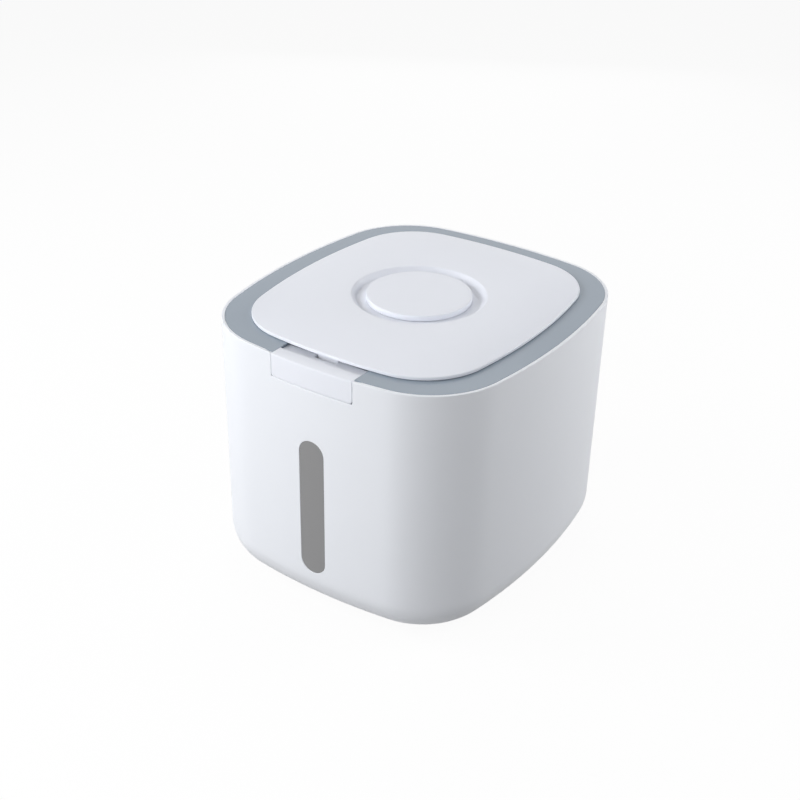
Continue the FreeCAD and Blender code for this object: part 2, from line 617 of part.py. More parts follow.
def vent_screen():
    z_low = CUP_LOW + CUP_FLANGE
    radius = CUP_BORE - CUP_FIT / 2
    screen = post(radius, 0, 0, z_low, z_low + SCREEN_THICKNESS)
    pitch = 2 * (CUP_BORE - CUP_LEDGE) / (SCREEN_SLOTS + 1)
    for step in range(SCREEN_SLOTS):
        x = (step - (SCREEN_SLOTS - 1) / 2) * pitch
        half = math.sqrt((radius - 2 * SCREEN_SLOT - CUP_LEDGE) ** 2 - x ** 2)
        screen = screen.cut(box(x - SCREEN_SLOT / 2, x + SCREEN_SLOT / 2, -half, half,
                                z_low - 1, z_low + SCREEN_THICKNESS + 1))
    return screen


def hinge_pin():
    end = hinge_posts()[1][1][1] - PIN_END_INSET
    return barrel(PIN_RADIUS, -end, end)


def coil(radius, wire, pitch, turns, start, axis):
    """Square wire wound in short straight lengths from start along axis."""
    count = round(turns * COIL_SIDES)
    rings = []
    for step in range(count + 1):
        turn = 2 * math.pi * step / COIL_SIDES
        out = V(math.cos(turn), math.sin(turn), 0)
        middle = out * radius + V(0, 0, pitch * step / COIL_SIDES)
        rings.append([middle + out * wire, middle + V(0, 0, wire),
                      middle - out * wire, middle - V(0, 0, wire)])
    faces = [Part.Face(Part.makePolygon(ring + ring[:1])) for ring in (rings[0], rings[-1])]
    for near, far in zip(rings, rings[1:]):
        for side in range(4):
            corners = [near[side - 1], near[side], far[side], far[side - 1]]
            for triangle in (corners[:3], corners[2:] + corners[:1]):
                faces.append(Part.Face(Part.makePolygon(triangle + triangle[:1])))
    spring = Part.makeSolid(Part.makeShell(faces))
    spring.Placement = FreeCAD.Placement(start, FreeCAD.Rotation(V(0, 0, 1), axis))
    return spring


def hinge_spring():
    length = SPRING_COIL_PITCH * SPRING_COIL_TURNS
    wire = SPRING_COIL_WIRE
    low = HINGE_Z - SPRING_COIL_RADIUS
    spring = coil(SPRING_COIL_RADIUS, wire, SPRING_COIL_PITCH, SPRING_COIL_TURNS,
                  V(-length / 2, HINGE_Y, HINGE_Z), V(1, 0, 0))
    low_leg = box(-length / 2 - wire, -length / 2 + wire, HINGE_Y - SPRING_LEG, HINGE_Y,
                  low - wire, low + wire)
    high_leg = box(length / 2 - wire, length / 2 + wire, HINGE_Y - SPRING_LEG,
                   HINGE_Y - SPRING_COIL_RADIUS + wire, HINGE_Z - 1.5 * wire, HINGE_Z + 0.5 * wire)
    return spring.fuse([low_leg, high_leg])


def press_button():
    depth_face = FRONT + BUTTON_TOP_DEPTH
    blank = box(-BUTTON_HALF_WIDTH, BUTTON_HALF_WIDTH, FRONT - 1, depth_face, BUTTON_LOW, RIM_Z)
    low_corners = [edge for edge in blank.Edges
                   if abs(edge.BoundBox.ZMax - BUTTON_LOW) < 0.01 and edge.BoundBox.YLength > 5]
    blank = blank.makeFillet(BUTTON_CORNER, low_corners)
    button = blank.common(body_block(0, BUTTON_LOW - 1, RIM_Z + 1))
    inside = box(-BUTTON_HALF_WIDTH - 1, BUTTON_HALF_WIDTH + 1, FRONT, depth_face - BUTTON_RISER,
                 BUTTON_LOW - 1, RIM_Z - BUTTON_TOP)
    inside = inside.common(body_block(BUTTON_FACE, BUTTON_LOW - 2, RIM_Z + 1))
    button = button.cut(inside)
    shelf_z = RIM_Z - SHELF_DROP
    button = button.cut(box(-BUTTON_HALF_WIDTH - 1, BUTTON_HALF_WIDTH + 1, depth_face - BUTTON_RISER,
                            depth_face + 1, BUTTON_LOW - 1, shelf_z - SHELF_THICKNESS))
    top_edge = [edge for edge in level_edges(button, RIM_Z) if edge.BoundBox.XLength > BUTTON_HALF_WIDTH]
    button = button.makeChamfer(BUTTON_EDGE, top_edge)
    shelf_rear = NOTCH_REAR - BUTTON_TRAVEL - SHELF_CLEAR
    shelf = box(-BUTTON_HALF_WIDTH, BUTTON_HALF_WIDTH, depth_face - BUTTON_RISER, shelf_rear,
                shelf_z - SHELF_THICKNESS, shelf_z)
    slot_half = TONGUE_HALF_WIDTH + SHELF_SLOT_GAP
    shelf = shelf.cut(box(-slot_half, slot_half, depth_face + SHELF_DEPTH, shelf_rear + 1,
                          shelf_z - SHELF_THICKNESS - 1, shelf_z + 1))
    button = button.fuse(shelf)
    for x, y in button_boss_places():
        boss = post(BOSS_RADIUS, x, y, SLIDE_Z + SLIDE_THICKNESS, RIM_Z - BUTTON_TOP)
        button = button.fuse(boss)
        button = button.cut(post(SCREW_RADIUS, x, y, SLIDE_Z, RIM_Z - BUTTON_TOP))
    return button


def button_boss_places():
    y = FRONT + BUTTON_TOP_DEPTH - BUTTON_RISER - BOSS_RADIUS
    return [(-BUTTON_BOSS_X, y), (BUTTON_BOSS_X, y)]


def catch_slider():
    top = SLIDE_Z + SLIDE_THICKNESS
    inside_wall = body_block(WALL + SLIDE_BEHIND_WALL, SLIDE_Z - 1, top + 1)
    wing_front = FRONT + WALL
    wing_half = HOUSING_HALF_WIDTH - HOUSING_WALL - CATCH_GAP
    slider = box(-wing_half, wing_half, wing_front, wing_front + SLIDE_WING_DEPTH, SLIDE_Z, top)
    slider = slider.fuse(box(-SLIDE_HALF_WIDTH, SLIDE_HALF_WIDTH, wing_front, SLIDE_REAR, SLIDE_Z, top))
    slider = slider.common(inside_wall)
    window_front = TONGUE_Y - BUTTON_TRAVEL - 2 * CATCH_GAP
    window_half = TONGUE_HALF_WIDTH + WINDOW_SIDE_GAP
    slider = slider.cut(box(-window_half, window_half, window_front, BAR_Y, SLIDE_Z - 1, top + 1))
    for x in (-SPRING_SEAT_X, SPRING_SEAT_X):
        slider = slider.fuse(box(x - SPRING_RADIUS, x + SPRING_RADIUS,
                                 SPRING_SEAT_REAR - SPRING_SEAT_THICKNESS, SPRING_SEAT_REAR,
                                 SPRING_Z - SPRING_RADIUS, SLIDE_Z))
        slider = slider.fuse(Part.makeCylinder(PEG_RADIUS, PEG_LENGTH, V(x, SPRING_SEAT_REAR, SPRING_Z),
                                               V(0, 1, 0)))
    for x, y in button_boss_places():
        slider = slider.cut(post(SCREW_RADIUS + CATCH_GAP, x, y, SLIDE_Z - 1, top + 1))
    return slider


def screw(x, y, under_head, length):
    """Pan-head screw that points up, with its head below under_head."""
    shank = post(SCREW_RADIUS - COLLAR_GAP, x, y, under_head - SCREW_HEAD, under_head + length)
    return shank.fuse(post(SCREW_HEAD_RADIUS, x, y, under_head - SCREW_HEAD, under_head))


def button_screws():
    length = SLIDE_THICKNESS + (RIM_Z - BUTTON_TOP - SLIDE_Z - SLIDE_THICKNESS) - CATCH_GAP
    return Part.Compound([screw(x, y, SLIDE_Z, length) for x, y in button_boss_places()])


def spring_gap():
    return HOUSING_BACK_FACE - SPRING_SEAT_REAR


def button_springs():
    length = spring_gap() - 2 * SPRING_WIRE - 2 * COLLAR_GAP
    start_y = SPRING_SEAT_REAR + SPRING_WIRE + COLLAR_GAP
    return Part.Compound([coil(SPRING_RADIUS - SPRING_WIRE, SPRING_WIRE, length / SPRING_TURNS, SPRING_TURNS,
                               V(x, start_y, SPRING_Z), V(0, 1, 0))
                          for x in (-SPRING_SEAT_X, SPRING_SEAT_X)])


def latch_housing():
    low = HOUSING_FLOOR_Z - HOUSING_FLOOR
    top = COLLAR_LOW
    inner_half = HOUSING_HALF_WIDTH - HOUSING_WALL
    tray = box(-HOUSING_HALF_WIDTH, HOUSING_HALF_WIDTH, FRONT, HOUSING_REAR, low, top)
    tray = tray.cut(box(-inner_half, inner_half, FRONT - 1, HOUSING_BACK_FACE, HOUSING_FLOOR_Z, top + 1))
    ear_low = COLLAR_LOW - HOUSING_EAR_HEIGHT - HOUSING_FLOOR
    ear_y = FRONT + BOSS_FRONT
    ear_x = HOUSING_EAR_X + BOSS_RADIUS
    tray = tray.fuse(box(-ear_x, ear_x, ear_y - 2 * BOSS_RADIUS, ear_y + 2 * BOSS_RADIUS,
                         ear_low, ear_low + HOUSING_FLOOR))
    tray = tray.cut(box(-inner_half, inner_half, FRONT - 1, HOUSING_BACK_FACE, HOUSING_FLOOR_Z, top + 1))
    tray = tray.common(body_block(WALL + COLLAR_GAP, low - 1, top + 1))
    tray = tray.cut(mouth_block(SEAT_WIDTH + SEAT_WALL + COLLAR_GAP, SEAT_LOW - COLLAR_GAP, top + 1))
    for x in (-RAIL_X, RAIL_X):
        tray = tray.fuse(box(x - RAIL_WIDTH / 2, x + RAIL_WIDTH / 2, FRONT + BUTTON_TOP_DEPTH / 2,
                             HOUSING_REAR, HOUSING_FLOOR_Z - HOUSING_FLOOR, SLIDE_Z - RAIL_CLEAR))
    for x in (-SPRING_SEAT_X, SPRING_SEAT_X):
        tray = tray.fuse(Part.makeCylinder(PEG_RADIUS, PEG_LENGTH, V(x, HOUSING_BACK_FACE, SPRING_Z),
                                           V(0, -1, 0)))
    for x, y in housing_boss_places():
        tray = tray.cut(post(SCREW_RADIUS + CATCH_GAP, x, y, ear_low - 1, ear_low + HOUSING_FLOOR + 1))
    return tray


def housing_screws():
    under_head = COLLAR_LOW - HOUSING_EAR_HEIGHT - HOUSING_FLOOR
    return Part.Compound([screw(x, y, under_head, SCREW_LENGTH) for x, y in housing_boss_places()])


PIECES = {
    "bucket_shell": bucket_shell,
    "base_feet": base_feet,
    "window_strip": window_strip,
    "window_gasket": window_gasket,
    "lid_frame": lid_frame,
    "latch_housing": latch_housing,
    "housing_screws": housing_screws,
    "press_button": press_button,
    "catch_slider": catch_slider,
    "button_screws": button_screws,
    "button_springs": button_springs,
    "hinge_pin": hinge_pin,
    "hinge_spring": hinge_spring,
    "lid_panel": lid_panel,
    "lid_liner": lid_liner,
    "lid_gasket": lid_gasket,
    "desiccant_cup": desiccant_cup,
    "vent_screen": vent_screen,
    "desiccant_cap": desiccant_cap,
    "cap_seal": cap_seal,
}

os.makedirs("parts", exist_ok=True)
for name, make in PIECES.items():
    make().exportStep("parts/" + name + ".step")
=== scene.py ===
import math

import bmesh
import bpy
from mathutils import Matrix, Vector
from mathutils.geometry import delaunay_2d_cdt


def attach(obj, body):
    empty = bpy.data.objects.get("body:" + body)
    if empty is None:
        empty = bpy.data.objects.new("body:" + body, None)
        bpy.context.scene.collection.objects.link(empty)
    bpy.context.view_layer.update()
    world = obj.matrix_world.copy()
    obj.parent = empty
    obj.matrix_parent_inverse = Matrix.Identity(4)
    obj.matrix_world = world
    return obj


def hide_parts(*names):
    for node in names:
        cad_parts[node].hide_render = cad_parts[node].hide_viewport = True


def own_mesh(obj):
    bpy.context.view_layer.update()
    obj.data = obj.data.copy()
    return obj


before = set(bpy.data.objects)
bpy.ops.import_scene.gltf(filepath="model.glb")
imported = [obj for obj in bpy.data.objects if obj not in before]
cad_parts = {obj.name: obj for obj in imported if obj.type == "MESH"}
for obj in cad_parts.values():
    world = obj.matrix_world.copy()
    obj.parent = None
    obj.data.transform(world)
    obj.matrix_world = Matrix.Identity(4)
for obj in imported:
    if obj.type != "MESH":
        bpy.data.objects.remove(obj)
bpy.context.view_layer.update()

# A rice keeper: a moulded white bucket with a smoke level window, a grey collar in its
# mouth, a crowned flip panel with a lift-out disc, and a press button in the front wall.
# Metres. +Z is up and the button faces -Y.

MM = 0.001

# Sizes in millimetres, as in the part's own source
BODY = (129.95, 142.99, 487.0, 69.4)          # half width, half depth, side radius, corner radius
PANEL = (107.9, 123.35, 445.0, 56.5)
BODY_MIDDLE = 110.0                           # height that the lamps face
BASE_Z, RIM_Z = 1.5, 220.2
WALL, FLOOR = 2.55, 2.6
WALL_DRAFT = 1.95
BASE_ROUND, BEND_INSIDE = 32.5, 27.0
BASE_RECESS, RECESS_INSET = 0.8, 65.45
RIM_OUTER, RIM_INNER = 0.7, 0.3               # radii of the rim's two edges
LEDGE, LEDGE_ROOT, LEDGE_TOP = 2.5, 0.6, 217.6
SHEET_HALF = 52.0                             # half width of the front that is cut out as a sheet
WINDOW_HALF, WINDOW_LOW, WINDOW_HIGH = 11.5, 36.7, 157.3
WINDOW_GAP, WINDOW_SUNK, WINDOW_FLANGE = 0.15, 0.25, 5.0
FLANGE_FRONT, FLANGE_REAR = 3.35, 4.95        # depths under the outer wall
NOTCH_HALF, NOTCH_LOW, NOTCH_CORNER = 37.25, 200.9, 1.0
SLOT_EDGE, NOTCH_EDGE = 0.4, 0.3              # soft edges round the window slot and the notch
PANEL_LOW, PANEL_EDGE_Z, CROWN_TOP = 220.7, 223.2, 226.1
CROWN_REACH = 49.0
PANEL_WALL = 2.2
MOUTH_INSET, PANEL_BORDER = 16.0, 4.5
DISC_RADIUS, DISC_TOP_Z, DISC_LOW, DISC_UNDER = 42.4, 226.6, 221.9, 224.2
PLUG_RADIUS, PLUG_WALL, PLUG_LOW = 37.0, 3.6, 214.2
GROOVE_FLOOR_Z, GROOVE_FLOOR_RADIUS, GROOVE_RADIUS = 221.6, 50.0, 53.8
CUP_HOLE, CUP_REBATE, CUP_FLANGE = 40.1, 41.95, 1.2
HINGE_Y, HINGE_Z = 120.05, 220.4
KNUCKLE_FIRST, KNUCKLE_LAST = 17.0, 28.0
KNUCKLE_RADIUS, KNUCKLE_BORE = 2.1, 1.07
CHANNEL_HALF, CHANNEL_RADIUS = 32.4, 2.05
TONGUE_HALF, TONGUE_FROM_EDGE, TONGUE_THICKNESS = 9.0, 2.86, 2.0
BARB_TOP, BARB_HEIGHT, BARB_REACH = 212.5, 2.2, 1.5
BUTTON_HALF, BUTTON_LOW, BUTTON_CORNER = 36.95, 201.2, 2.6
BUTTON_REAR, BUTTON_FACE, BUTTON_TOP = -129.99, 2.2, 2.0
SHELF_DROP, SHELF_THICKNESS, BUTTON_RISER = 1.8, 1.8, 2.0
SHELF_REAR, SHELF_SLOT_REAR, SHELF_SLOT_HALF = -119.35, -124.5, 9.8
BUTTON_BOSS_X, BUTTON_BOSS_Y = 17.0, -135.19
BOSS_RADIUS, BOSS_LOW, BOSS_TOP, SCREW_RADIUS = 3.2, 214.75, 218.4, 1.3
HOUSING_SCREW_X, SPRING_X = 49.0, 21.5
FOOT_X, FOOT_Y, FOOT_RADIUS, FOOT_POCKET = 69.55, 82.55, 9.0, 1.0

COLOUR_A, COLOUR_B, COLOUR_OUT = 6, 7, 2      # a Mix node's colour sockets


# -------------------- colours and materials

def linear(hex_colour):
    """sRGB hex to linear RGBA."""
    parts = [int(hex_colour[i:i + 2], 16) / 255 for i in (1, 3, 5)]
    return [c / 12.92 if c <= 0.04045 else ((c + 0.055) / 1.055) ** 2.4 for c in parts] + [1.0]


def add(tree, kind, links=(), **settings):
    """Adds a node. Keys that are sockets are set on inputs, the others on the node itself."""
    node = tree.nodes.new(kind)
    for key, value in settings.items():
        if key in node.inputs:
            node.inputs[key].default_value = value
        else:
            setattr(node, key, value)
    for socket, source in links:
        tree.links.new(source, node.inputs[socket])
    return node


def per_mm(size_mm):
    """Texture scale whose pattern repeats about every size_mm."""
    return 1.0 / (size_mm * MM)


def blank_material(name):
    """New material with an empty tree, and the Object coordinates that its patterns follow."""
    material = bpy.data.materials.new(name)
    material.use_nodes = True
    tree = material.node_tree
    tree.nodes.clear()
    return material, tree, add(tree, "ShaderNodeTexCoord").outputs["Object"]


def moulded(name, colour, roughness, grain_mm, grain_depth_mm, shade=0.012, specular=0.5,
            subsurface=0.0, ior=1.49):
    """Injection-moulded plastic: a spark-eroded grain, slow colour drift from the flow of the
    melt, and a faint scuffing that dulls the gloss in patches. The grain is drawn coarser than
    the real 0.1 mm, so that it shows."""
    drift_mm, scuff_mm = 60.0, 9.0
    material, tree, place = blank_material(name)
    drift = add(tree, "ShaderNodeTexNoise", [("Vector", place)], Scale=per_mm(drift_mm), Detail=3.0)
    grain = add(tree, "ShaderNodeTexNoise", [("Vector", place)], Scale=per_mm(grain_mm), Detail=2.0,
                Roughness=0.6)
    scuff = add(tree, "ShaderNodeTexNoise", [("Vector", place)], Scale=per_mm(scuff_mm), Detail=5.0,
                Roughness=0.7)
    base = linear(colour)
    tint = add(tree, "ShaderNodeMix", [(0, drift.outputs["Fac"])], data_type="RGBA")
    tint.inputs[COLOUR_A].default_value = [c * (1 - 2 * shade) for c in base[:3]] + [1.0]
    tint.inputs[COLOUR_B].default_value = [min(1.0, c * (1 + shade)) for c in base[:3]] + [1.0]
    gloss = add(tree, "ShaderNodeMapRange", [("Value", scuff.outputs["Fac"])])
    gloss.inputs["From Min"].default_value = 0.3
    gloss.inputs["From Max"].default_value = 0.7
    gloss.inputs["To Min"].default_value = roughness - 0.03
    gloss.inputs["To Max"].default_value = roughness + 0.05
    bump = add(tree, "ShaderNodeBump", [("Height", grain.outputs["Fac"])], Strength=0.6,
               Distance=grain_depth_mm * MM)
    shader = add(tree, "ShaderNodeBsdfPrincipled",
                 [("Base Color", tint.outputs[COLOUR_OUT]), ("Roughness", gloss.outputs["Result"]),
                  ("Normal", bump.outputs["Normal"])], IOR=ior)
    shader.inputs["Specular IOR Level"].default_value = specular
    shader.inputs["Subsurface Weight"].default_value = subsurface
    shader.inputs["Subsurface Scale"].default_value = 0.002
    add(tree, "ShaderNodeOutputMaterial", [("Surface", shader.outputs["BSDF"])])
    return material


def drawn_metal(name, colour, roughness, line_mm, axis):
    """Steel with lines from drawing or turning along one axis, coarser than real ones so that
    they show, and a slight haze."""
    line_stretch, haze_mm = 25.0, 6.0
    material, tree, place = blank_material(name)
    stretch = [1.0, 1.0, 1.0]
    stretch[axis] = 1.0 / line_stretch
    lined = add(tree, "ShaderNodeMapping", [("Vector", place)], Scale=stretch)
    lines = add(tree, "ShaderNodeTexNoise", [("Vector", lined.outputs["Vector"])],
                Scale=per_mm(line_mm), Detail=3.0)
    haze = add(tree, "ShaderNodeTexNoise", [("Vector", place)], Scale=per_mm(haze_mm), Detail=3.0)
    base = linear(colour)
    tint = add(tree, "ShaderNodeMix", [(0, haze.outputs["Fac"])], data_type="RGBA")
    tint.inputs[COLOUR_A].default_value = [c * 0.86 for c in base[:3]] + [1.0]
    tint.inputs[COLOUR_B].default_value = base
    gloss = add(tree, "ShaderNodeMapRange", [("Value", lines.outputs["Fac"])])
    gloss.inputs["To Min"].default_value = roughness - 0.08
    gloss.inputs["To Max"].default_value = roughness + 0.08
    bump = add(tree, "ShaderNodeBump", [("Height", lines.outputs["Fac"])], Strength=0.4,
               Distance=0.02 * MM)
    shader = add(tree, "ShaderNodeBsdfPrincipled",
                 [("Base Color", tint.outputs[COLOUR_OUT]), ("Roughness", gloss.outputs["Result"]),
                  ("Normal", bump.outputs["Normal"])], Metallic=1.0)
    add(tree, "ShaderNodeOutputMaterial", [("Surface", shader.outputs["BSDF"])])
    return material


# Polypropylene, satin spark-eroded mould: soft broad highlights, the faintest speckle up close
WHITE_PP = moulded("white_polypropylene_satin", "#f0f3f9", 0.42, 0.45, 0.012, shade=0.006)
# ABS, finer and glossier than the bucket: the panel, disc and button show a sharper sheen
WHITE_ABS = moulded("white_abs_semi_gloss", "#eff2fa", 0.34, 0.35, 0.006, shade=0.005)
# Polypropylene with a grey-blue masterbatch, satin: it mirrors the panel's edge faintly
GREY_PP = moulded("grey_blue_polypropylene_satin", "#96a2af", 0.2, 0.45, 0.003, shade=0.015,
                  specular=0.7)
# Unfilled polypropylene, milky and slightly see-through at its edges
MILKY_PP = moulded("natural_polypropylene_milky", "#eceff0", 0.36, 0.5, 0.008, subsurface=0.15)
# Acetal, for the slide that runs in its rails: waxy off-white with a soft shine
WHITE_POM = moulded("white_acetal", "#ecece8", 0.32, 0.5, 0.006)
# Styrene acrylonitrile with a smoke tint, polished outside: even grey with a thin glint
SMOKE_WINDOW = moulded("smoke_styrene_window", "#89898a", 0.22, 1.2, 0.002, shade=0.01, ior=1.57)
# Silicone, pressed in a polished mould: cloudy, soft sheen
CLEAR_SILICONE = moulded("cloudy_silicone", "#dfe1e2", 0.45, 0.8, 0.01, subsurface=0.2, ior=1.41)
# Thermoplastic rubber feet: dull grey, slightly rough from the floor
GREY_RUBBER = moulded("grey_thermoplastic_rubber", "#b9bbbe", 0.7, 0.6, 0.03, shade=0.04)
# Stainless steel screws: turned heads with a soft brushed shine
SCREW_STEEL = drawn_metal("stainless_steel_turned", "#c9c9cb", 0.3, 0.5, 2)
# Stainless steel pin, drawn and straightened: lines along its length
PIN_STEEL = drawn_metal("stainless_steel_drawn", "#c4c5c7", 0.25, 0.4, 0)
# Spring steel wire: darker, brighter along the wire
SPRING_STEEL = drawn_metal("spring_steel_wire", "#b2b2b4", 0.32, 0.3, 1)

NODE_FINISH = {
    "bucket_shell": WHITE_PP, "base_feet": GREY_RUBBER, "window_strip": SMOKE_WINDOW,
    "window_gasket": CLEAR_SILICONE, "lid_frame": GREY_PP, "latch_housing": GREY_PP,
    "housing_screws": SCREW_STEEL, "hinge_pin": PIN_STEEL, "hinge_spring": SPRING_STEEL,
    "button_springs": SPRING_STEEL, "press_button": WHITE_ABS, "catch_slider": WHITE_POM,
    "button_screws": SCREW_STEEL, "lid_panel": WHITE_ABS, "lid_liner": MILKY_PP,
    "lid_gasket": CLEAR_SILICONE, "desiccant_cup": MILKY_PP, "vent_screen": MILKY_PP,
    "desiccant_cap": WHITE_ABS, "cap_seal": CLEAR_SILICONE,
}
for node_name, finish in NODE_FINISH.items():
    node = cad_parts[node_name]
    node.data.materials.clear()
    node.data.materials.append(finish)


# -------------------- shapes

def new_object(name, data):
    """New object in the scene."""
    item = bpy.data.objects.new(name, data)
    bpy.context.scene.collection.objects.link(item)
    return item


def sine(degrees):
    """Sine of an angle in degrees."""
    return math.sin(math.radians(degrees))


def cosine(degrees):
    """Cosine of an angle in degrees."""
    return math.cos(math.radians(degrees))


def circle(radius, steps):
    """Points of a circle round the origin."""
    turns = [2 * math.pi * i / steps for i in range(steps)]
    return [(radius * math.cos(turn), radius * math.sin(turn)) for turn in turns]


class Plan:
    """Rounded-square outline of eight tangent arcs that can be moved inwards by any inset."""

    def __init__(self, sizes, side_steps, corner_steps):
        half_width, half_depth, side, corner = sizes
        side_x, side_y = half_width - side, half_depth - side
        span = math.hypot(side_x, side_y)
        rise = math.sqrt((side - corner) ** 2 - (span / 2) ** 2)
        cx, cy = side_x / 2 - rise * side_y / span, side_y / 2 - rise * side_x / span
        low = math.atan2(cy, cx - side_x)
        high = math.atan2(cy - side_y, cx)
        pi = math.pi
        arcs = [(side_x, 0, side, -low, low), (cx, cy, corner, low, high),
                (0, side_y, side, high, pi - high), (-cx, cy, corner, pi - high, pi - low),
                (-side_x, 0, side, pi - low, pi + low), (-cx, -cy, corner, pi + low, pi + high),
                (0, -side_y, side, pi + high, 2 * pi - high),
                (cx, -cy, corner, 2 * pi - high, 2 * pi - low)]
        self.stations = []
        for x, y, radius, start, end in arcs:
            steps = corner_steps if radius == corner else side_steps
            self.stations += [(x, y, radius, start + (end - start) * i / steps) for i in range(steps)]

    def point(self, station, inset, z):
        """Point in metres at a station of the outline, moved inwards by the inset."""
        x, y, radius, angle = station
        reach = radius - inset
        return ((x + reach * math.cos(angle)) * MM, (y + reach * math.sin(angle)) * MM, z * MM)


class Skin:
    """Collects points and faces for one piece."""

    def __init__(self):
        self.points = []
        self.faces = []

    def ring(self, points):
        """Adds a row of points and returns their numbers."""
        first = len(self.points)
        self.points += [tuple(p) for p in points]
        return list(range(first, len(self.points)))

    def bridge(self, low, high, closed=True):
        """Quads between two rows of points, low row first, outwards to the right of travel."""
        count = len(low)
        for i in range(count if closed else count - 1):
            j = (i + 1) % count
            self.faces.append((low[i], low[j], high[j], high[i]))

    def cap(self, ring, flip=False):
        """Closes a ring with one face, which faces the other way where flip is set."""
        self.faces.append(tuple(reversed(ring)) if flip else tuple(ring))

    def sweep(self, plan, stops):
        """Wall that follows the plan through (inset, height) stops."""
        rings = [self.ring([plan.point(s, inset, z) for s in plan.stations]) for inset, z in stops]
        for low, high in zip(rings, rings[1:]):
            self.bridge(low, high)

    def turn(self, profile, steps, centre=(0.0, 0.0)):
        """Surface of revolution about an upright axis through (radius, height) stops."""
        rings = []
        for radius, z in profile:
            points = circle(radius, steps) if radius else [(0.0, 0.0)]
            rings.append(self.ring([((centre[0] + x) * MM, (centre[1] + y) * MM, z * MM)
                                    for x, y in points]))
        for low, high in zip(rings, rings[1:]):
            if len(low) == 1:
                self.faces += [(high[i], high[(i + 1) % steps], low[0]) for i in range(steps)]
            elif len(high) == 1:
                self.faces += [(low[i], low[(i + 1) % steps], high[0]) for i in range(steps)]
            else:
                self.bridge(low, high)

    def tube(self, radius, bore, x_low, x_high, y, z):
        """Barrel along X with a bore."""
        rings = []
        for size, x in ((bore, x_low), (radius, x_low), (radius, x_high), (bore, x_high)):
            rings.append(self.ring([(x * MM, (y + aside) * MM, (z + up) * MM)
                                    for aside, up in circle(size, 40)]))
        for low, high in zip(rings, rings[1:] + rings[:1]):
            self.bridge(low, high)

    def block(self, x_low, x_high, outline):
        """Bar along X from a list of (y, z) corners."""
        near = self.ring([(x_low * MM, y * MM, z * MM) for y, z in outline])
        far = self.ring([(x_high * MM, y * MM, z * MM) for y, z in outline])
        self.bridge(near, far)
        self.cap(near, flip=True)
        self.cap(far)

    def piece(self, name, finish, sharp=35.0):
        """Makes the object: merged, facing outwards and smooth up to the sharp angle in degrees."""
        weld = 0.002 * MM
        mesh = bpy.data.meshes.new(name)
        mesh.from_pydata(self.points, [], self.faces)
        work = bmesh.new()
        work.from_mesh(mesh)
        bmesh.ops.remove_doubles(work, verts=work.verts, dist=weld)
        bmesh.ops.dissolve_degenerate(work, edges=work.edges, dist=weld / 2)
        bmesh.ops.recalc_face_normals(work, faces=work.faces)
        for face in work.faces:
            face.smooth = True
        work.to_mesh(mesh)
        work.free()
        mesh.set_sharp_from_angle(angle=math.radians(sharp))
        mesh.materials.append(finish)
        return new_object(name, mesh)


def quarter(centre, radius, start, end, steps):
    """Points of an arc in (inset, height), angles in degrees."""
    turns = [start + (end - start) * i / steps for i in range(steps + 1)]
    return [(centre[0] + radius * cosine(turn), centre[1] + radius * sine(turn)) for turn in turns]


def spread(start, end, steps):
    """Evenly spaced points on the straight line between two, ends included."""
    return [(start[0] + (end[0] - start[0]) * i / steps, start[1] + (end[1] - start[1]) * i / steps)
            for i in range(steps + 1)]


def drafted(inset, z):
    """Inset of the tapered wall at height z."""
    return inset + WALL_DRAFT * (RIM_Z - z) / (RIM_Z - BASE_Z)


def slot_path(grow):
    """Outline of the window slot, made larger by grow, as (x, z) points that run once round."""
    half, low, high = WINDOW_HALF + grow, WINDOW_LOW - grow, WINDOW_HIGH + grow
    lower = [(half * cosine(a), low + half + half * sine(a)) for a in range(180, 361, 9)]
    upper = [(half * cosine(a), high - half + half * sine(a)) for a in range(0, 181, 9)]
    right = spread(lower[-1], upper[0], 24)[1:-1]
    left = spread(upper[-1], lower[0], 24)[1:-1]
    return lower + right + upper + left


def notch_path(grow):
    """Outline of the button's notch, made larger by grow, as (x, z) points that run from the
    rim's rounding down the left side, across and up the right side."""
    half, low, corner = NOTCH_HALF + grow, NOTCH_LOW - grow, NOTCH_CORNER + grow
    left = spread((-half, RIM_Z - RIM_OUTER), (-half, low + corner), 10)[:-1]
    left += [(-half + corner + corner * cosine(a), low + corner + corner * sine(a))
             for a in range(180, 271, 18)]
    middle = spread((-half + corner, low), (half - corner, low), 24)[1:-1]
    return left + middle + [(-x, z) for x, z in reversed(left)]


def front_wall(x, depth, z):
    """Point of the bucket's front wall, depth under its outside."""
    half_depth, side = BODY[1], BODY[2]
    reach = side - drafted(depth, z)
    return (x * MM, (side - half_depth - math.sqrt(reach * reach - x * x)) * MM, z * MM)


def inside(polygon, x, y):
    """Whether a point lies inside a polygon."""
    hit = False
    for (ax, ay), (bx, by) in zip(polygon, polygon[1:] + polygon[:1]):
        if (ay > y) != (by > y) and x < (bx - ax) * (y - ay) / (by - ay) + ax:
            hit = not hit
    return hit


def near_loop(polygon, x, y, gap):
    """Whether a point lies within the gap of a polygon's corners."""
    return any((x - px) ** 2 + (y - py) ** 2 < gap * gap for px, py in polygon)


def triangulate(outline, holes, inner):
    """Triangles over the area inside the outline, without the holes, through the inner points."""
    points, edges = [], []
    for loop in [outline] + holes:
        first = len(points)
        points += loop
        edges += [(first + i, first + (i + 1) % len(loop)) for i in range(len(loop))]
    result = delaunay_2d_cdt([Vector(p) for p in points + inner], edges, [], 0, 1e-7)
    flat = [(p.x, p.y) for p in result[0]]
    kept = []
    for face in result[2]:
        x = sum(flat[i][0] for i in face) / len(face)
        y = sum(flat[i][1] for i in face) / len(face)
        if not any(inside(hole, x, y) for hole in holes):
            kept.append(face)
    return flat, kept


def distance_round(x, inset):
    """Distance along the front wall's arc that belongs to x."""
    side = BODY[2]
    return -math.acos(x / (side - inset)) * side


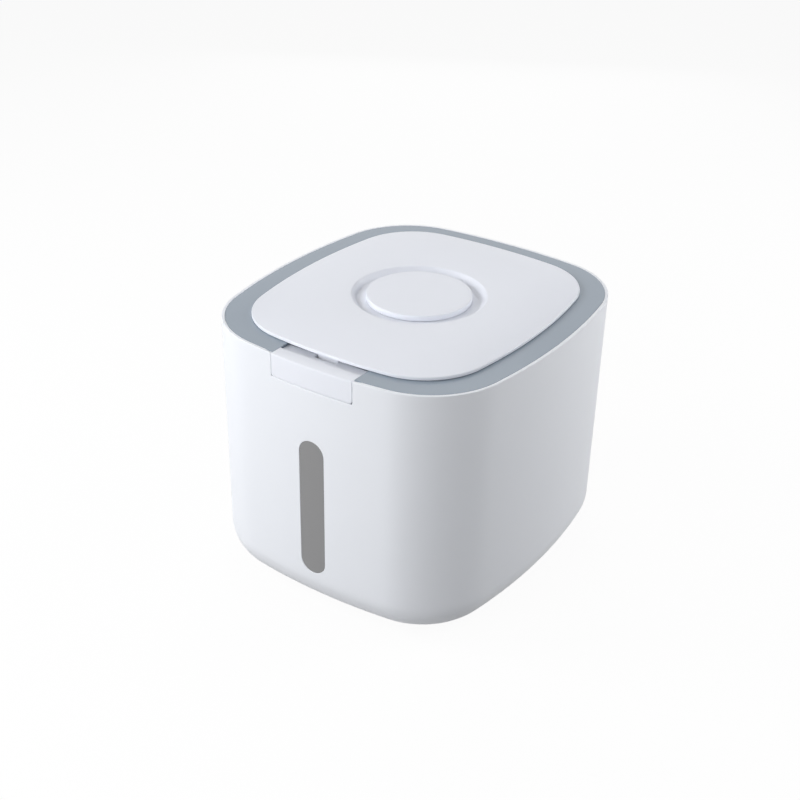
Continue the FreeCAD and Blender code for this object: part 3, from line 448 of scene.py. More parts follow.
class FrontSheet:
    """The bucket's front, from the outer wall over the rim to the inner wall, drawn flat as
    (distance round, distance up and over), so that the window and the notch can be cut out."""

    def __init__(self, plan, rows, rim_first, rim_last):
        self.plan = plan
        self.rows = rows
        self.rim_first = rim_first
        self.rim_last = rim_last
        self.lengths = [0.0]
        for (inset, z), (next_inset, next_z) in zip(rows, rows[1:]):
            self.lengths.append(self.lengths[-1] + math.hypot(next_inset - inset, next_z - z))

    def outer(self, x, z):
        """Where a point of the outer wall lies on the sheet."""
        low, high = self.rows[0][1], self.rows[self.rim_first][1]
        return distance_round(x, drafted(0, z)), self.lengths[self.rim_first] * (z - low) / (high - low)

    def inner(self, x, z):
        """Where a point of the inner wall lies on the sheet."""
        start, end = self.lengths[self.rim_last], self.lengths[-1]
        high, low = self.rows[self.rim_last][1], self.rows[-1][1]
        return distance_round(x, drafted(WALL, z)), start + (end - start) * (high - z) / (high - low)

    def rim(self, x, row):
        """Where a point of one of the rim's rows lies on the sheet."""
        return distance_round(x, self.rows[row][0]), self.lengths[row]

    def point(self, around, along):
        """Point in metres for a place on the sheet."""
        row = 0
        while row < len(self.rows) - 2 and along > self.lengths[row + 1]:
            row += 1
        share = (along - self.lengths[row]) / (self.lengths[row + 1] - self.lengths[row])
        inset, z = (p + (q - p) * share for p, q in zip(self.rows[row], self.rows[row + 1]))
        side = BODY[2]
        return self.plan.point((0, side - BODY[1], side, around / side), inset, z)


def bucket_section():
    """The bucket's section as (inset, height) stops, in five runs: underside and base edge,
    outer wall, rim, inner wall, and the bend to the floor."""
    base_top = BASE_Z + BASE_ROUND
    bend_top = BASE_Z + FLOOR + BEND_INSIDE
    base_centre = (drafted(0, base_top) + BASE_ROUND, base_top)
    bend_centre = (drafted(WALL, bend_top) + BEND_INSIDE, bend_top)
    recess_z = BASE_Z + BASE_RECESS
    base = [(RECESS_INSET + 0.6, recess_z), (RECESS_INSET, recess_z - 0.4),
            (RECESS_INSET - 0.2, BASE_Z + 0.1), (RECESS_INSET - 0.6, BASE_Z)]
    base += quarter(base_centre, BASE_ROUND, -90, -180, 18)
    outer_round = quarter((RIM_OUTER, RIM_Z - RIM_OUTER), RIM_OUTER, 180, 90, 4)
    inner_round = quarter((WALL - RIM_INNER, RIM_Z - RIM_INNER), RIM_INNER, 90, 0, 4)
    wall = spread((drafted(0, base_top), base_top), outer_round[0], 18)[1:]
    inner_wall = spread(inner_round[-1], (drafted(WALL, bend_top), bend_top), 18)[1:]
    bend = quarter(bend_centre, BEND_INSIDE, 180, 270, 12)[1:]
    return base, wall, outer_round[1:] + inner_round, inner_wall, bend


def slot_wall(skin, sheet, outer, inner):
    """Wall of the window slot: a small radius outside, straight to the inner face."""
    loops = [[sheet.point(*place) for place in outer]]
    for turn in (30, 60, 90):
        depth = SLOT_EDGE * (1 - cosine(turn))
        loops.append([front_wall(x, depth, z) for x, z in slot_path(SLOT_EDGE * (1 - sine(turn)))])
    loops.append([sheet.point(*place) for place in inner])
    rings = [skin.ring(loop) for loop in loops]
    for low, high in zip(rings, rings[1:]):
        skin.bridge(low, high)


def notch_edge(sheet):
    """The notch's edge on the sheet: down and up on the outer wall, over the rim, back on the
    inner wall and over the rim again."""
    path, reach = notch_path(NOTCH_EDGE), NOTCH_HALF + NOTCH_EDGE
    over = range(sheet.rim_first + 1, sheet.rim_last)
    edge = [sheet.outer(x, z) for x, z in path] + [sheet.rim(reach, row) for row in over]
    edge += [sheet.inner(x, z) for x, z in reversed(path)]
    return edge + [sheet.rim(-reach, row) for row in reversed(over)]


def notch_wall(skin, sheet, edge):
    """Wall of the notch, blunt towards both faces, with the rim's section as its two ends."""
    path = notch_path(0)
    ends = [(min(max(inset, NOTCH_EDGE), WALL - NOTCH_EDGE), min(z, RIM_Z - NOTCH_EDGE))
            for inset, z in sheet.rows[sheet.rim_first + 1:sheet.rim_last]]
    points = [front_wall(x, NOTCH_EDGE, z) for x, z in path]
    points += [front_wall(NOTCH_HALF, depth, z) for depth, z in ends]
    points += [front_wall(x, WALL - NOTCH_EDGE, z) for x, z in reversed(path)]
    points += [front_wall(-NOTCH_HALF, depth, z) for depth, z in reversed(ends)]
    outside, wall = skin.ring([sheet.point(*place) for place in edge]), skin.ring(points)
    skin.bridge(outside, wall)
    count = len(path)
    rear = count + len(ends)
    skin.bridge(wall[:count], wall[rear:rear + count][::-1], closed=False)
    skin.cap(wall[count - 1:rear + 1])
    skin.cap([wall[0]] + wall[rear + count - 1:])


def collar_ledge(skin, plan, front):
    """Ledge under the collar, open at the front where the latch housing sits."""
    count = len(plan.stations)
    stations = [plan.stations[i % count] for i in range(front[-1] + 2, front[0] + count - 1)]
    section = [(WALL - LEDGE_ROOT, LEDGE_TOP - 2 * LEDGE - LEDGE_ROOT), (WALL + LEDGE, LEDGE_TOP - LEDGE),
               (WALL + LEDGE, LEDGE_TOP), (WALL - LEDGE_ROOT, LEDGE_TOP)]
    rings = [skin.ring([plan.point(s, inset, z) for s in stations]) for inset, z in section]
    for low, high in zip(rings, rings[1:] + rings[:1]):
        skin.bridge(low, high, closed=False)
    skin.cap([ring[0] for ring in rings])
    skin.cap([ring[-1] for ring in rings], flip=True)


def bucket():
    """One-piece moulded bucket: round base edge, drafted walls, soft rim, window slot and notch."""
    plan = Plan(BODY, 26, 22)
    skin = Skin()
    base, wall, rim, inner_wall, bend = bucket_section()
    stops = base + wall + rim + inner_wall + bend
    first, last = len(base) - 1, len(stops) - 1 - len(bend)

    # All round but the front, where the walls and the rim are left out for the sheet
    count = len(plan.stations)
    front = [i for i, (x, y, side, angle) in enumerate(plan.stations)
             if x == 0 and y > 0 and abs(math.cos(angle) * side) < SHEET_HALF]
    rings = [skin.ring([plan.point(s, inset, z) for s in plan.stations]) for inset, z in stops]
    for row, (low, high) in enumerate(zip(rings, rings[1:])):
        for i in range(count):
            if not (first <= row < last and i in front[:-1]):
                j = (i + 1) % count
                skin.faces.append((low[i], low[j], high[j], high[i]))
    skin.cap(rings[0], flip=True)
    skin.cap(rings[-1])

    sheet = FrontSheet(plan, stops[first:last + 1], len(wall), len(wall) + len(rim))
    rounds = [(plan.stations[i][3] - 2 * math.pi) * BODY[2] for i in front]
    lengths = sheet.lengths
    border = [(s, 0.0) for s in rounds] + [(rounds[-1], v) for v in lengths[1:]]
    border += [(s, lengths[-1]) for s in reversed(rounds[:-1])]
    border += [(rounds[0], v) for v in reversed(lengths[1:-1])]
    slot_outer = [sheet.outer(x, z) for x, z in slot_path(SLOT_EDGE)]
    slot_inner = [sheet.inner(x, z) for x, z in slot_path(0)]
    notch = notch_edge(sheet)
    holes = [slot_outer, slot_inner, notch]
    grid = [(s, v) for s in rounds[1:-1] for v in lengths[1:-1]
            if not any(inside(hole, s, v) or near_loop(hole, s, v, 1.6) for hole in holes)]
    flat, triangles = triangulate(border, holes, grid)
    patch = skin.ring([sheet.point(s, v) for s, v in flat])
    skin.faces += [tuple(patch[i] for i in face) for face in triangles]
    slot_wall(skin, sheet, slot_outer, slot_inner)
    notch_wall(skin, sheet, notch)
    collar_ledge(skin, plan, front)

    piece = skin.piece("bucket", WHITE_PP, sharp=48)
    # The large faces set the shading, so the wall stays even up to its soft edges
    piece.modifiers.new("even_shading", "WEIGHTED_NORMAL").keep_sharp = True
    settle(piece)
    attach(piece, "bin")
    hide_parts("bucket_shell")


def level_window():
    """Smoke window: polished face just under the wall, soft edge, flange behind the wall."""
    skin = Skin()
    soft, reach = 0.3, WINDOW_FLANGE + WINDOW_GAP
    # Each stop is (distance inside the window's outline, depth under the wall)
    stops = [(inward, WINDOW_SUNK) for inward in (10.6, 7.5, 4.5, 2.0, 0.8, soft)]
    stops += [(soft * (1 - sine(turn)), WINDOW_SUNK + soft * (1 - cosine(turn))) for turn in (30, 60, 90)]
    stops += [(0, FLANGE_FRONT), (-reach, FLANGE_FRONT), (-reach, FLANGE_REAR), (8.0, FLANGE_REAR)]
    rings = [skin.ring([front_wall(x, depth, z) for x, z in slot_path(-WINDOW_GAP - inward)])
             for inward, depth in stops]
    skin.cap(rings[0])
    for outer, inner in zip(rings, rings[1:]):
        skin.bridge(inner, outer)
    skin.cap(rings[-1], flip=True)
    piece = skin.piece("level_window", SMOKE_WINDOW, sharp=40)
    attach(piece, "bin")
    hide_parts("window_strip")


def crown_height(inset):
    """Height of the panel's crown, an arc that levels off at its reach."""
    rise = CROWN_TOP - PANEL_EDGE_Z
    radius = (CROWN_REACH ** 2 + rise ** 2) / (2 * rise)
    return CROWN_TOP - radius + math.sqrt(radius ** 2 - (CROWN_REACH - inset) ** 2)


def flat_ring(skin, plan, inset, radius, z, steps, up):
    """Flat area at height z between the plan's outline and a circle."""
    outline = [tuple(c / MM for c in plan.point(s, inset, z)[:2]) for s in plan.stations]
    flat, triangles = triangulate(outline, [circle(radius, steps)], [])
    ring = skin.ring([(x * MM, y * MM, z * MM) for x, y in flat])
    skin.faces += [tuple(ring[i] for i in (face if up else reversed(face))) for face in triangles]


def cut_away(piece, cutter):
    """Cuts one closed mesh out of another for good."""
    modifier = piece.modifiers.new("cut", "BOOLEAN")
    modifier.operation = "DIFFERENCE"
    modifier.solver = "EXACT"
    modifier.object = cutter
    settle(piece)
    bpy.data.objects.remove(cutter)


def settle(piece):
    """Replaces a piece's modifiers by their result."""
    bpy.context.view_layer.update()
    evaluated = piece.evaluated_get(bpy.context.evaluated_depsgraph_get())
    mesh = bpy.data.meshes.new_from_object(evaluated)
    old = piece.data
    piece.modifiers.clear()
    piece.data = mesh
    mesh.name = old.name
    bpy.data.meshes.remove(old)


def panel_fittings():
    """Hinge knuckles and catch tongue under the panel, with slightly rounded edges."""
    skin = Skin()
    for side in (-1, 1):
        low, high = sorted((side * KNUCKLE_FIRST, side * KNUCKLE_LAST))
        skin.tube(KNUCKLE_RADIUS, KNUCKLE_BORE, low, high, HINGE_Y, HINGE_Z)
        front, rear, root = HINGE_Y - KNUCKLE_RADIUS, HINGE_Y + KNUCKLE_RADIUS / 2, PANEL_LOW + 1.9
        skin.block(low, high, [(front, HINGE_Z + 0.6), (rear, HINGE_Z + 1.6), (rear, root), (front, root)])
    front, root = -PANEL[1] + TONGUE_FROM_EDGE, PANEL_LOW + 0.6
    rear, low = front + TONGUE_THICKNESS, BARB_TOP - BARB_HEIGHT
    tip = rear + BARB_REACH
    skin.block(-TONGUE_HALF, TONGUE_HALF,
               [(front, root), (front, low), (front + 1.0, low), (tip - 0.2, BARB_TOP - 0.7),
                (tip, BARB_TOP - 0.4), (tip, BARB_TOP), (rear, BARB_TOP), (rear, root)])
    piece = skin.piece("panel_fittings", WHITE_ABS, sharp=30)
    soft = piece.modifiers.new("soft", "BEVEL")
    soft.width = 0.15 * MM
    soft.segments = 2
    soft.limit_method = "ANGLE"
    soft.angle_limit = math.radians(40)
    settle(piece)
    return piece


def flip_panel():
    """Crowned lid panel with its finger groove, hollow underside, hinge knuckles and catch tongue."""
    plan = Plan(PANEL, 24, 24)
    skin = Skin()
    steps, sharp = 160, 38
    edge, foot = 0.8, 0.3
    slope = (GROOVE_RADIUS - GROOVE_FLOOR_RADIUS) / (CROWN_TOP - GROOVE_FLOOR_Z)
    border = MOUTH_INSET - PANEL_BORDER
    ceiling = CROWN_TOP - PANEL_WALL
    # Outside: underside border, edge, rounded shoulder, crown
    stops = [(border, PANEL_LOW), (foot, PANEL_LOW), (foot * 0.3, PANEL_LOW + foot * 0.3),
             (0.0, PANEL_LOW + foot)]
    stops += quarter((edge, crown_height(edge) - edge), edge, 180, 84, 5)
    insets = [edge + (CROWN_REACH - edge) * i / 14 for i in range(1, 15)]
    skin.sweep(plan, stops + [(inset, crown_height(inset)) for inset in insets])
    # Groove: rolled lip, sloping wall, filleted foot, floor, seat for the cup's flange
    groove = [(GROOVE_RADIUS + out, CROWN_TOP - down)
              for out, down in ((1.43, 0.0), (0.715, 0.09), (0.156, 0.35), (-0.28, 0.85))]
    groove += [(GROOVE_FLOOR_RADIUS + out, GROOVE_FLOOR_Z + up)
               for out, up in ((slope, 1.0), (0.2, 0.4), (-0.3, 0.1), (-1.0, 0.0))]
    seat_z, bowl_low = GROOVE_FLOOR_Z - CUP_FLANGE, GROOVE_FLOOR_Z - PANEL_WALL
    groove += [(CUP_REBATE, GROOVE_FLOOR_Z), (CUP_REBATE, seat_z), (CUP_HOLE, seat_z), (CUP_HOLE, bowl_low)]
    # The same wall from below
    bowl_foot = GROOVE_FLOOR_RADIUS - PANEL_WALL * slope + PANEL_WALL
    bowl_top = GROOVE_FLOOR_RADIUS + (ceiling - GROOVE_FLOOR_Z) * slope + PANEL_WALL
    skin.turn(groove + [(bowl_foot, bowl_low), (bowl_top, ceiling)], steps)
    flat_ring(skin, plan, CROWN_REACH, groove[0][0], CROWN_TOP, steps, True)
    flat_ring(skin, plan, CROWN_REACH, bowl_top, ceiling, steps, False)
    skin.sweep(plan, [(CROWN_REACH, ceiling), (border, crown_height(border) - PANEL_WALL),
                      (border, PANEL_LOW)])
    piece = skin.piece("flip_panel", WHITE_ABS, sharp)

    # Channel that clears the hinge pin and the collar's ears
    channel = Skin()
    channel.block(-CHANNEL_HALF, CHANNEL_HALF,
                  [(HINGE_Y + aside, HINGE_Z + up) for aside, up in circle(CHANNEL_RADIUS, 30)])
    cut_away(piece, channel.piece("channel", WHITE_ABS))
    piece.data.set_sharp_from_angle(angle=math.radians(sharp))
    for finished in (piece, panel_fittings()):
        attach(finished, "lid")
        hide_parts("lid_panel")


def lift_out_disc():
    """Flat-topped disc with a soft edge, and the plug that goes into the desiccant cup."""
    skin = Skin()
    soft, edge = 0.8, DISC_RADIUS
    hollow = PLUG_RADIUS - PLUG_WALL
    profile = [(0, DISC_TOP_Z), (20, DISC_TOP_Z), (36, DISC_TOP_Z)]
    profile += [(edge - soft + soft * sine(turn), DISC_TOP_Z - soft + soft * cosine(turn))
                for turn in range(0, 91, 18)]
    profile += [(edge, DISC_LOW + 0.3), (edge - 0.1, DISC_LOW + 0.1), (edge - 0.3, DISC_LOW),
                (PLUG_RADIUS + 0.3, DISC_LOW), (PLUG_RADIUS + 0.1, DISC_LOW - 0.1),
                (PLUG_RADIUS, DISC_LOW - 0.3), (PLUG_RADIUS, PLUG_LOW + 0.3),
                (PLUG_RADIUS - 0.1, PLUG_LOW + 0.1), (PLUG_RADIUS - 0.3, PLUG_LOW),
                (hollow + 0.3, PLUG_LOW), (hollow + 0.1, PLUG_LOW + 0.1), (hollow, PLUG_LOW + 0.3),
                (hollow, DISC_UNDER - 0.5), (hollow - 0.15, DISC_UNDER - 0.15),
                (hollow - 0.5, DISC_UNDER), (0, DISC_UNDER)]
    skin.turn(profile, 160)
    piece = skin.piece("lift_out_disc", WHITE_ABS, sharp=40)
    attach(piece, "disc")
    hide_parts("desiccant_cap")


def button_low(x):
    """Height of the button's lower edge at x, rounded towards its corners."""
    past = abs(x) - (BUTTON_HALF - BUTTON_CORNER)
    if past <= 0:
        return BUTTON_LOW
    return BUTTON_LOW + BUTTON_CORNER - math.sqrt(max(BUTTON_CORNER ** 2 - past ** 2, 0))


def button_section(x, low, shelf_rear):
    """Closed (y, z) outline of the button at x, from its face over the top, shelf and riser."""
    soft, blunt = 0.8, 0.35
    shelf = RIM_Z - SHELF_DROP
    shelf_low, top_low = shelf - SHELF_THICKNESS, RIM_Z - BUTTON_TOP
    rear, riser = BUTTON_REAR, BUTTON_REAR - BUTTON_RISER

    def wall_y(depth, z):
        return front_wall(x, depth, z)[1] / MM

    points = [(wall_y(blunt, low), low), (wall_y(0.1, low), low + 0.12), (wall_y(0, low), low + blunt)]
    heights = [low + blunt + (RIM_Z - soft - low - blunt) * i / 8 for i in range(1, 8)]
    points += [(wall_y(0, z), z) for z in heights]
    points += [(wall_y(0, RIM_Z) + soft + soft * cosine(turn), RIM_Z - soft + soft * sine(turn))
               for turn in (180, 157, 135, 112, 90)]
    return points + [(rear - 0.5, RIM_Z), (rear - 0.15, RIM_Z - 0.15), (rear, RIM_Z - 0.5),
                     (rear, shelf + 0.3), (rear + 0.1, shelf + 0.1), (rear + 0.3, shelf),
                     (shelf_rear - 0.4, shelf), (shelf_rear - 0.1, shelf - 0.1),
                     (shelf_rear, shelf - 0.4), (shelf_rear, shelf_low),
                     (riser, shelf_low), (riser, top_low),
                     (wall_y(BUTTON_FACE, top_low), top_low), (wall_y(BUTTON_FACE, low), low)]


def shrunk(points, amount):
    """Closed outline with every point moved inwards."""
    moved = []
    for i, (y, z) in enumerate(points):
        (ay, az), (by, bz) = points[i - 1], points[(i + 1) % len(points)]
        ty, tz = by - ay, bz - az
        size = math.hypot(ty, tz) or 1.0
        moved.append((y + amount * tz / size, z - amount * ty / size))
    return moved


def front_button():
    """Press button: front plate that follows the wall, top plate, step down to the shelf."""
    skin = Skin()
    half, slot, flat = BUTTON_HALF, SHELF_SLOT_HALF, BUTTON_HALF - BUTTON_CORNER
    # Each station is (x, how much the section shrinks there for the soft ends)
    right = [(flat + BUTTON_CORNER * sine(turn), 0) for turn in range(0, 75, 8)] + [(half - 0.1, 0)]
    right += [(half - 0.03, 0.09), (half, 0.27)]
    middle = [(x, 0) for x, _ in spread((-flat, 0), (flat, 0), 24)[1:-1]]
    stations = [(-x, amount) for x, amount in reversed(right)] + middle + right
    # The shelf's slot for the tongue has a step at each side
    stations = [(x, amount, SHELF_REAR if abs(x) > slot else SHELF_SLOT_REAR) for x, amount in stations]
    stations += [(x, 0, y) for x in (-slot, slot) for y in (SHELF_REAR, SHELF_SLOT_REAR)]
    stations.sort(key=lambda item: (item[0], item[2] if item[0] > 0 else -item[2]))
    rings = []
    for x, amount, shelf_rear in stations:
        section = button_section(x, button_low(min(abs(x), half - 0.12)), shelf_rear)
        rings.append(skin.ring([(x * MM, y * MM, z * MM) for y, z in shrunk(section, amount)]))
    for low, high in zip(rings, rings[1:]):
        skin.bridge(low, high)
    skin.cap(rings[0], flip=True)
    skin.cap(rings[-1])
    boss = [(SCREW_RADIUS, BOSS_LOW), (BOSS_RADIUS, BOSS_LOW), (BOSS_RADIUS, BOSS_TOP),
            (SCREW_RADIUS, BOSS_TOP), (SCREW_RADIUS, BOSS_LOW)]
    for x in (-BUTTON_BOSS_X, BUTTON_BOSS_X):
        skin.turn(boss, 32, (x, BUTTON_BOSS_Y))
    piece = skin.piece("front_button", WHITE_ABS, sharp=40)
    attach(piece, "button")
    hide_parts("press_button")


# -------------------- pieces that repeat or follow a path

def size_input(tree, name, kind, value):
    """Adds a named input to a tree and returns its identifier."""
    item = tree.interface.new_socket(name, in_out="INPUT", socket_type=kind)
    item.default_value = value
    return item.identifier


def grown(name, tree, end, geometry, values, finish, body, node):
    """Ends a geometry tree, runs it on an empty mesh and keeps the plain result."""
    real = add(tree, "GeometryNodeRealizeInstances", [("Geometry", geometry)])
    paint = add(tree, "GeometryNodeSetMaterial", [("Geometry", real.outputs[0])], Material=finish)
    tree.links.new(paint.outputs[0], end.inputs[0])
    piece = new_object(name, bpy.data.meshes.new(name))
    modifier = piece.modifiers.new("made", "NODES")
    modifier.node_group = tree
    for identifier, value in values.items():
        modifier[identifier] = value
    settle(piece)
    bpy.data.node_groups.remove(tree)
    for face in piece.data.polygons:
        face.use_smooth = True
    piece.data.set_sharp_from_angle(angle=math.radians(40))
    piece.data.materials.clear()
    piece.data.materials.append(finish)
    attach(piece, body)
    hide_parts(node)
    return piece


def new_tree(name):
    """Empty geometry tree with its input and output nodes."""
    tree = bpy.data.node_groups.new(name, "GeometryNodeTree")
    tree.interface.new_socket("Geometry", in_out="OUTPUT", socket_type="NodeSocketGeometry")
    return tree, add(tree, "NodeGroupInput"), add(tree, "NodeGroupOutput")


def turned_sample(name, profile, steps):
    """Turned piece for a tree to copy, not linked to the scene itself."""
    skin = Skin()
    skin.turn(profile, steps)
    piece = skin.piece(name, WHITE_PP)
    bpy.context.scene.collection.objects.unlink(piece)
    return piece


def placed_copies(name, sample, places, finish, body, node):
    """Copies one turned piece to each place through Instance on Points."""
    tree, start, end = new_tree(name)
    keys = [size_input(tree, f"Place {i + 1}", "NodeSocketVector", place) for i, place in enumerate(places)]
    source = add(tree, "GeometryNodeObjectInfo")
    source.inputs["Object"].default_value = sample
    join = add(tree, "GeometryNodeJoinGeometry")
    for i in range(len(places)):
        point = add(tree, "GeometryNodePoints", [("Position", start.outputs[i])], Count=1)
        tree.links.new(point.outputs[0], join.inputs[0])
    copies = add(tree, "GeometryNodeInstanceOnPoints",
                 [("Points", join.outputs[0]), ("Instance", source.outputs["Geometry"])])
    grown(name, tree, end, copies.outputs[0], dict(zip(keys, places)), finish, body, node)
    bpy.data.objects.remove(sample)


def wound_springs(name, coils, wire_mm, finish, body, node, legs=()):
    """Round wire wound through a Spiral curve and Curve to Mesh, one coil for each start."""
    tree, start, end = new_tree(name)
    outs = start.outputs
    keys = {size_input(tree, "Wire radius", "NodeSocketFloat", wire_mm * MM): wire_mm * MM}
    wire = add(tree, "GeometryNodeCurvePrimitiveCircle", [("Radius", outs["Wire radius"])], Resolution=10)
    join = add(tree, "GeometryNodeJoinGeometry")
    for i, (radius, length, turns, place, angles) in enumerate(coils):
        coil_radius, coil_length, coil_turns = (f"{size} {i + 1}" for size in ("Radius", "Length", "Turns"))
        sizes = {coil_radius: radius * MM, coil_length: length * MM, coil_turns: turns}
        for label, value in sizes.items():
            keys[size_input(tree, label, "NodeSocketFloat", value)] = value
        spiral = add(tree, "GeometryNodeCurveSpiral",
                     [("Rotations", outs[coil_turns]), ("Start Radius", outs[coil_radius]),
                      ("End Radius", outs[coil_radius]), ("Height", outs[coil_length])], Resolution=28)
        moved = add(tree, "GeometryNodeTransform", [("Geometry", spiral.outputs[0])])
        moved.inputs["Translation"].default_value = [c * MM for c in place]
        moved.inputs["Rotation"].default_value = [math.radians(a) for a in angles]
        tree.links.new(moved.outputs[0], join.inputs[0])
    for near, far in legs:
        line = add(tree, "GeometryNodeCurvePrimitiveLine")
        line.inputs["Start"].default_value = [c * MM for c in near]
        line.inputs["End"].default_value = [c * MM for c in far]
        tree.links.new(line.outputs[0], join.inputs[0])
    tube = add(tree, "GeometryNodeCurveToMesh",
               [("Curve", join.outputs[0]), ("Profile Curve", wire.outputs[0])])
    tube.inputs["Fill Caps"].default_value = True
    return grown(name, tree, end, tube.outputs[0], keys, finish, body, node)


# -------------------- the pieces

bucket()
level_window()
flip_panel()
lift_out_disc()
front_button()

foot_top = BASE_Z + FOOT_POCKET
foot = [(0, 0), (FOOT_RADIUS - 0.6, 0), (FOOT_RADIUS - 0.2, 0.12), (FOOT_RADIUS, 0.45),
        (FOOT_RADIUS, BASE_Z - 0.1), (FOOT_RADIUS, foot_top), (0, foot_top)]
placed_copies("feet", turned_sample("foot", foot, 64),
              [(x * MM, y * MM, 0.0) for x in (-FOOT_X, FOOT_X) for y in (-FOOT_Y, FOOT_Y)],
              GREY_RUBBER, "bin", "base_feet")


def screw_profile(length):
    """Pan-head screw, head down, with its seat at height 0."""
    head = [(0, -1.0), (0.9, -1.0), (0.95, -1.6), (1.7, -1.58), (2.3, -1.42), (2.6, -1.05),
            (2.7, -0.6), (2.7, 0)]
    return head + [(1.15, 0), (1.15, length - 0.5), (0.8, length), (0, length)]


placed_copies("housing_screw_pair", turned_sample("housing_screw", screw_profile(8.0), 40),
              [(x * MM, -0.123, 0.2068) for x in (-HOUSING_SCREW_X, HOUSING_SCREW_X)],
              SCREW_STEEL, "bin", "housing_screws")
placed_copies("button_screw_pair", turned_sample("button_screw", screw_profile(5.2), 40),
              [(x * MM, -0.1352, 0.2127) for x in (-BUTTON_BOSS_X, BUTTON_BOSS_X)],
              SCREW_STEEL, "button", "button_screws")
# Each coil is (radius, length, turns, place of its start, angles that lay it along its axis)
button_coils = [(2.65, 12.24, 4.0, (x, -124.09, 209.15), (-90, 0, 0)) for x in (-SPRING_X, SPRING_X)]
coils = wound_springs("button_coils", button_coils, 0.3, SPRING_STEEL,
                      "bin", "button_springs")
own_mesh(coils)
coil_radius, coil_end, leg_y = 1.4, 2.25, HINGE_Y - 3.5
hinge_coil = (coil_radius, 2 * coil_end, 3.75, (-coil_end, HINGE_Y, HINGE_Z), (0, 90, 0))
hinge_legs = [((-coil_end, HINGE_Y, HINGE_Z - coil_radius), (-coil_end, leg_y, HINGE_Z - coil_radius)),
              ((coil_end, HINGE_Y - 1.2, HINGE_Z), (coil_end, leg_y, HINGE_Z))]
wound_springs("hinge_coil", [hinge_coil], 0.22, SPRING_STEEL,
              "bin", "hinge_spring", hinge_legs)


# -------------------- floor, camera and light

def plain_floor():
    """Pale studio floor that carries the shadow."""
    material, tree, place = blank_material("pale_floor")
    mottle = add(tree, "ShaderNodeTexNoise", [("Vector", place)], Scale=4.0, Detail=3.0)
    path = add(tree, "ShaderNodeLightPath").outputs
    seen = add(tree, "ShaderNodeMath", [(0, path["Is Camera Ray"]), (1, path["Is Glossy Ray"])],
               operation="MAXIMUM")
    seen = add(tree, "ShaderNodeMath", [(0, seen.outputs[0]), (1, path["Is Transmission Ray"])],
               operation="MAXIMUM")
    paint = add(tree, "ShaderNodeMix", [(0, mottle.outputs["Fac"])], data_type="RGBA")
    paint.inputs[COLOUR_A].default_value = linear("#969696")
    paint.inputs[COLOUR_B].default_value = linear("#9e9e9e")
    tint = add(tree, "ShaderNodeMix", [(0, seen.outputs[0]), (COLOUR_A, paint.outputs[COLOUR_OUT])],
               data_type="RGBA")
    tint.inputs[COLOUR_B].default_value = linear("#fbfbfb")
    matt = add(tree, "ShaderNodeBsdfDiffuse", [("Color", tint.outputs[COLOUR_OUT])])
    white = add(tree, "ShaderNodeEmission")
    share = add(tree, "ShaderNodeMath", [(0, seen.outputs[0])], operation="MULTIPLY")
    share.inputs[1].default_value = 0.94
    mix = add(tree, "ShaderNodeMixShader",
              [(0, share.outputs[0]), (1, matt.outputs[0]), (2, white.outputs[0])])
    add(tree, "ShaderNodeOutputMaterial", [("Surface", mix.outputs[0])])
    # A hair under the feet, so that the two faces never fight
    reach, low = 6.0, -0.00002
    mesh = bpy.data.meshes.new("floor")
    mesh.from_pydata([(-reach, -reach, low), (reach, -reach, low), (reach, reach, low),
                      (-reach, reach, low)], [], [(0, 1, 2, 3)])
    mesh.materials.append(material)
    floor = new_object("floor", mesh)


def room_light(level):
    """Even white room light. The camera sees plain white."""
    world = bpy.data.worlds.new("studio")
    world.use_nodes = True
    tree = world.node_tree
    tree.nodes.clear()
    path = add(tree, "ShaderNodeLightPath").outputs
    seen = add(tree, "ShaderNodeMath", [(0, path["Is Camera Ray"]), (1, path["Is Transmission Ray"])],
               operation="MAXIMUM")
    strength = add(tree, "ShaderNodeMapRange", [("Value", seen.outputs[0])])
    strength.inputs["To Min"].default_value = level
    strength.inputs["To Max"].default_value = 1.0
    sky = add(tree, "ShaderNodeBackground", [("Strength", strength.outputs["Result"])])
    sky.inputs["Color"].default_value = linear("#ffffff")
    add(tree, "ShaderNodeOutputWorld", [("Surface", sky.outputs[0])])
    bpy.context.scene.world = world


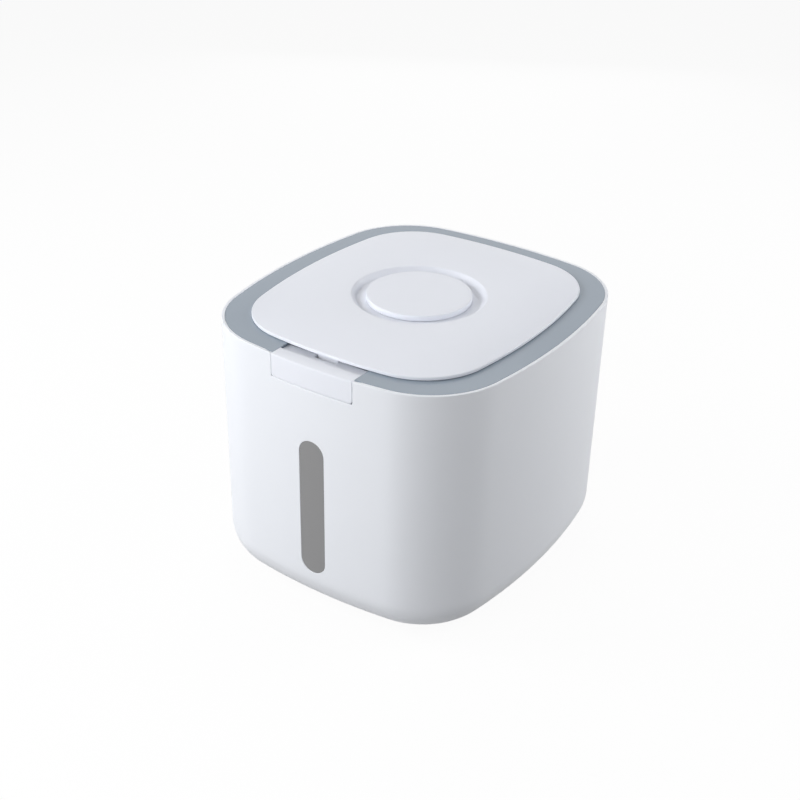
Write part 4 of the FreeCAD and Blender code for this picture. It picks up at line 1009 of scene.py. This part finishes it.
def soft_box(name, direction, distance, size, power):
    """Square area light that faces the middle of the body."""
    data = bpy.data.lights.new(name, "AREA")
    data.shape = "SQUARE"
    data.size = size
    data.energy = power
    lamp = new_object(name, data)
    away = Vector(direction).normalized()
    lamp.location = Vector((0, 0, BODY_MIDDLE * MM)) + away * distance
    lamp.rotation_euler = away.to_track_quat("Z", "Y").to_euler()


def place_camera():
    """Camera to the right of the front and above it, with a slight roll."""
    yaw, tilt, roll = (math.radians(a) for a in (33.84, 29.28, 1.3))
    distance, aim, aside, raised = 1.1843, 0.1015, -0.0134, 0.0236
    focal_length, picture_width = 1412.22, 800      # both in pixels
    back = Vector((math.sin(yaw) * math.cos(tilt), -math.cos(yaw) * math.cos(tilt), math.sin(tilt)))
    right = (-back).cross(Vector((0, 0, 1))).normalized()
    up = right.cross(-back)
    spot = Vector((0, 0, aim)) + right * aside + up * raised + back * distance
    across = math.cos(roll) * right + math.sin(roll) * up
    upright = -math.sin(roll) * right + math.cos(roll) * up
    data = bpy.data.cameras.new("camera")
    data.sensor_width = 36.0
    data.lens = focal_length * data.sensor_width / picture_width
    camera = new_object("camera", data)
    camera.matrix_world = Matrix.Translation(spot) @ Matrix((across, upright, back)).transposed().to_4x4()
    bpy.context.scene.camera = camera


plain_floor()
room_light(0.02)
# Name, direction from the body, distance, side length and watts
soft_box("left_high_light", (-0.83, -0.56, 0.7), 1.4, 0.5, 5.7)
soft_box("left_light", (-0.8, -0.52, 0.33), 1.4, 0.9, 5.5)
soft_box("front_light", (-0.25, -0.9, 0.5), 1.6, 0.9, 7.2)
soft_box("front_low_light", (0.25, -0.9, 0.36), 1.6, 0.9, 7.1)
soft_box("top_light", (-0.4, 0.4, 0.8), 1.3, 0.9, 3.4)
soft_box("right_light", (0.75, 0.3, 0.55), 0.8, 0.5, 1.3)
soft_box("right_rear_light", (0.6, 0.75, 0.3), 1.4, 0.9, 9.2)
soft_box("rear_light", (-0.5, 0.85, 0.3), 1.4, 0.9, 2.7)
place_camera()
bpy.context.scene.view_settings.view_transform = "Standard"
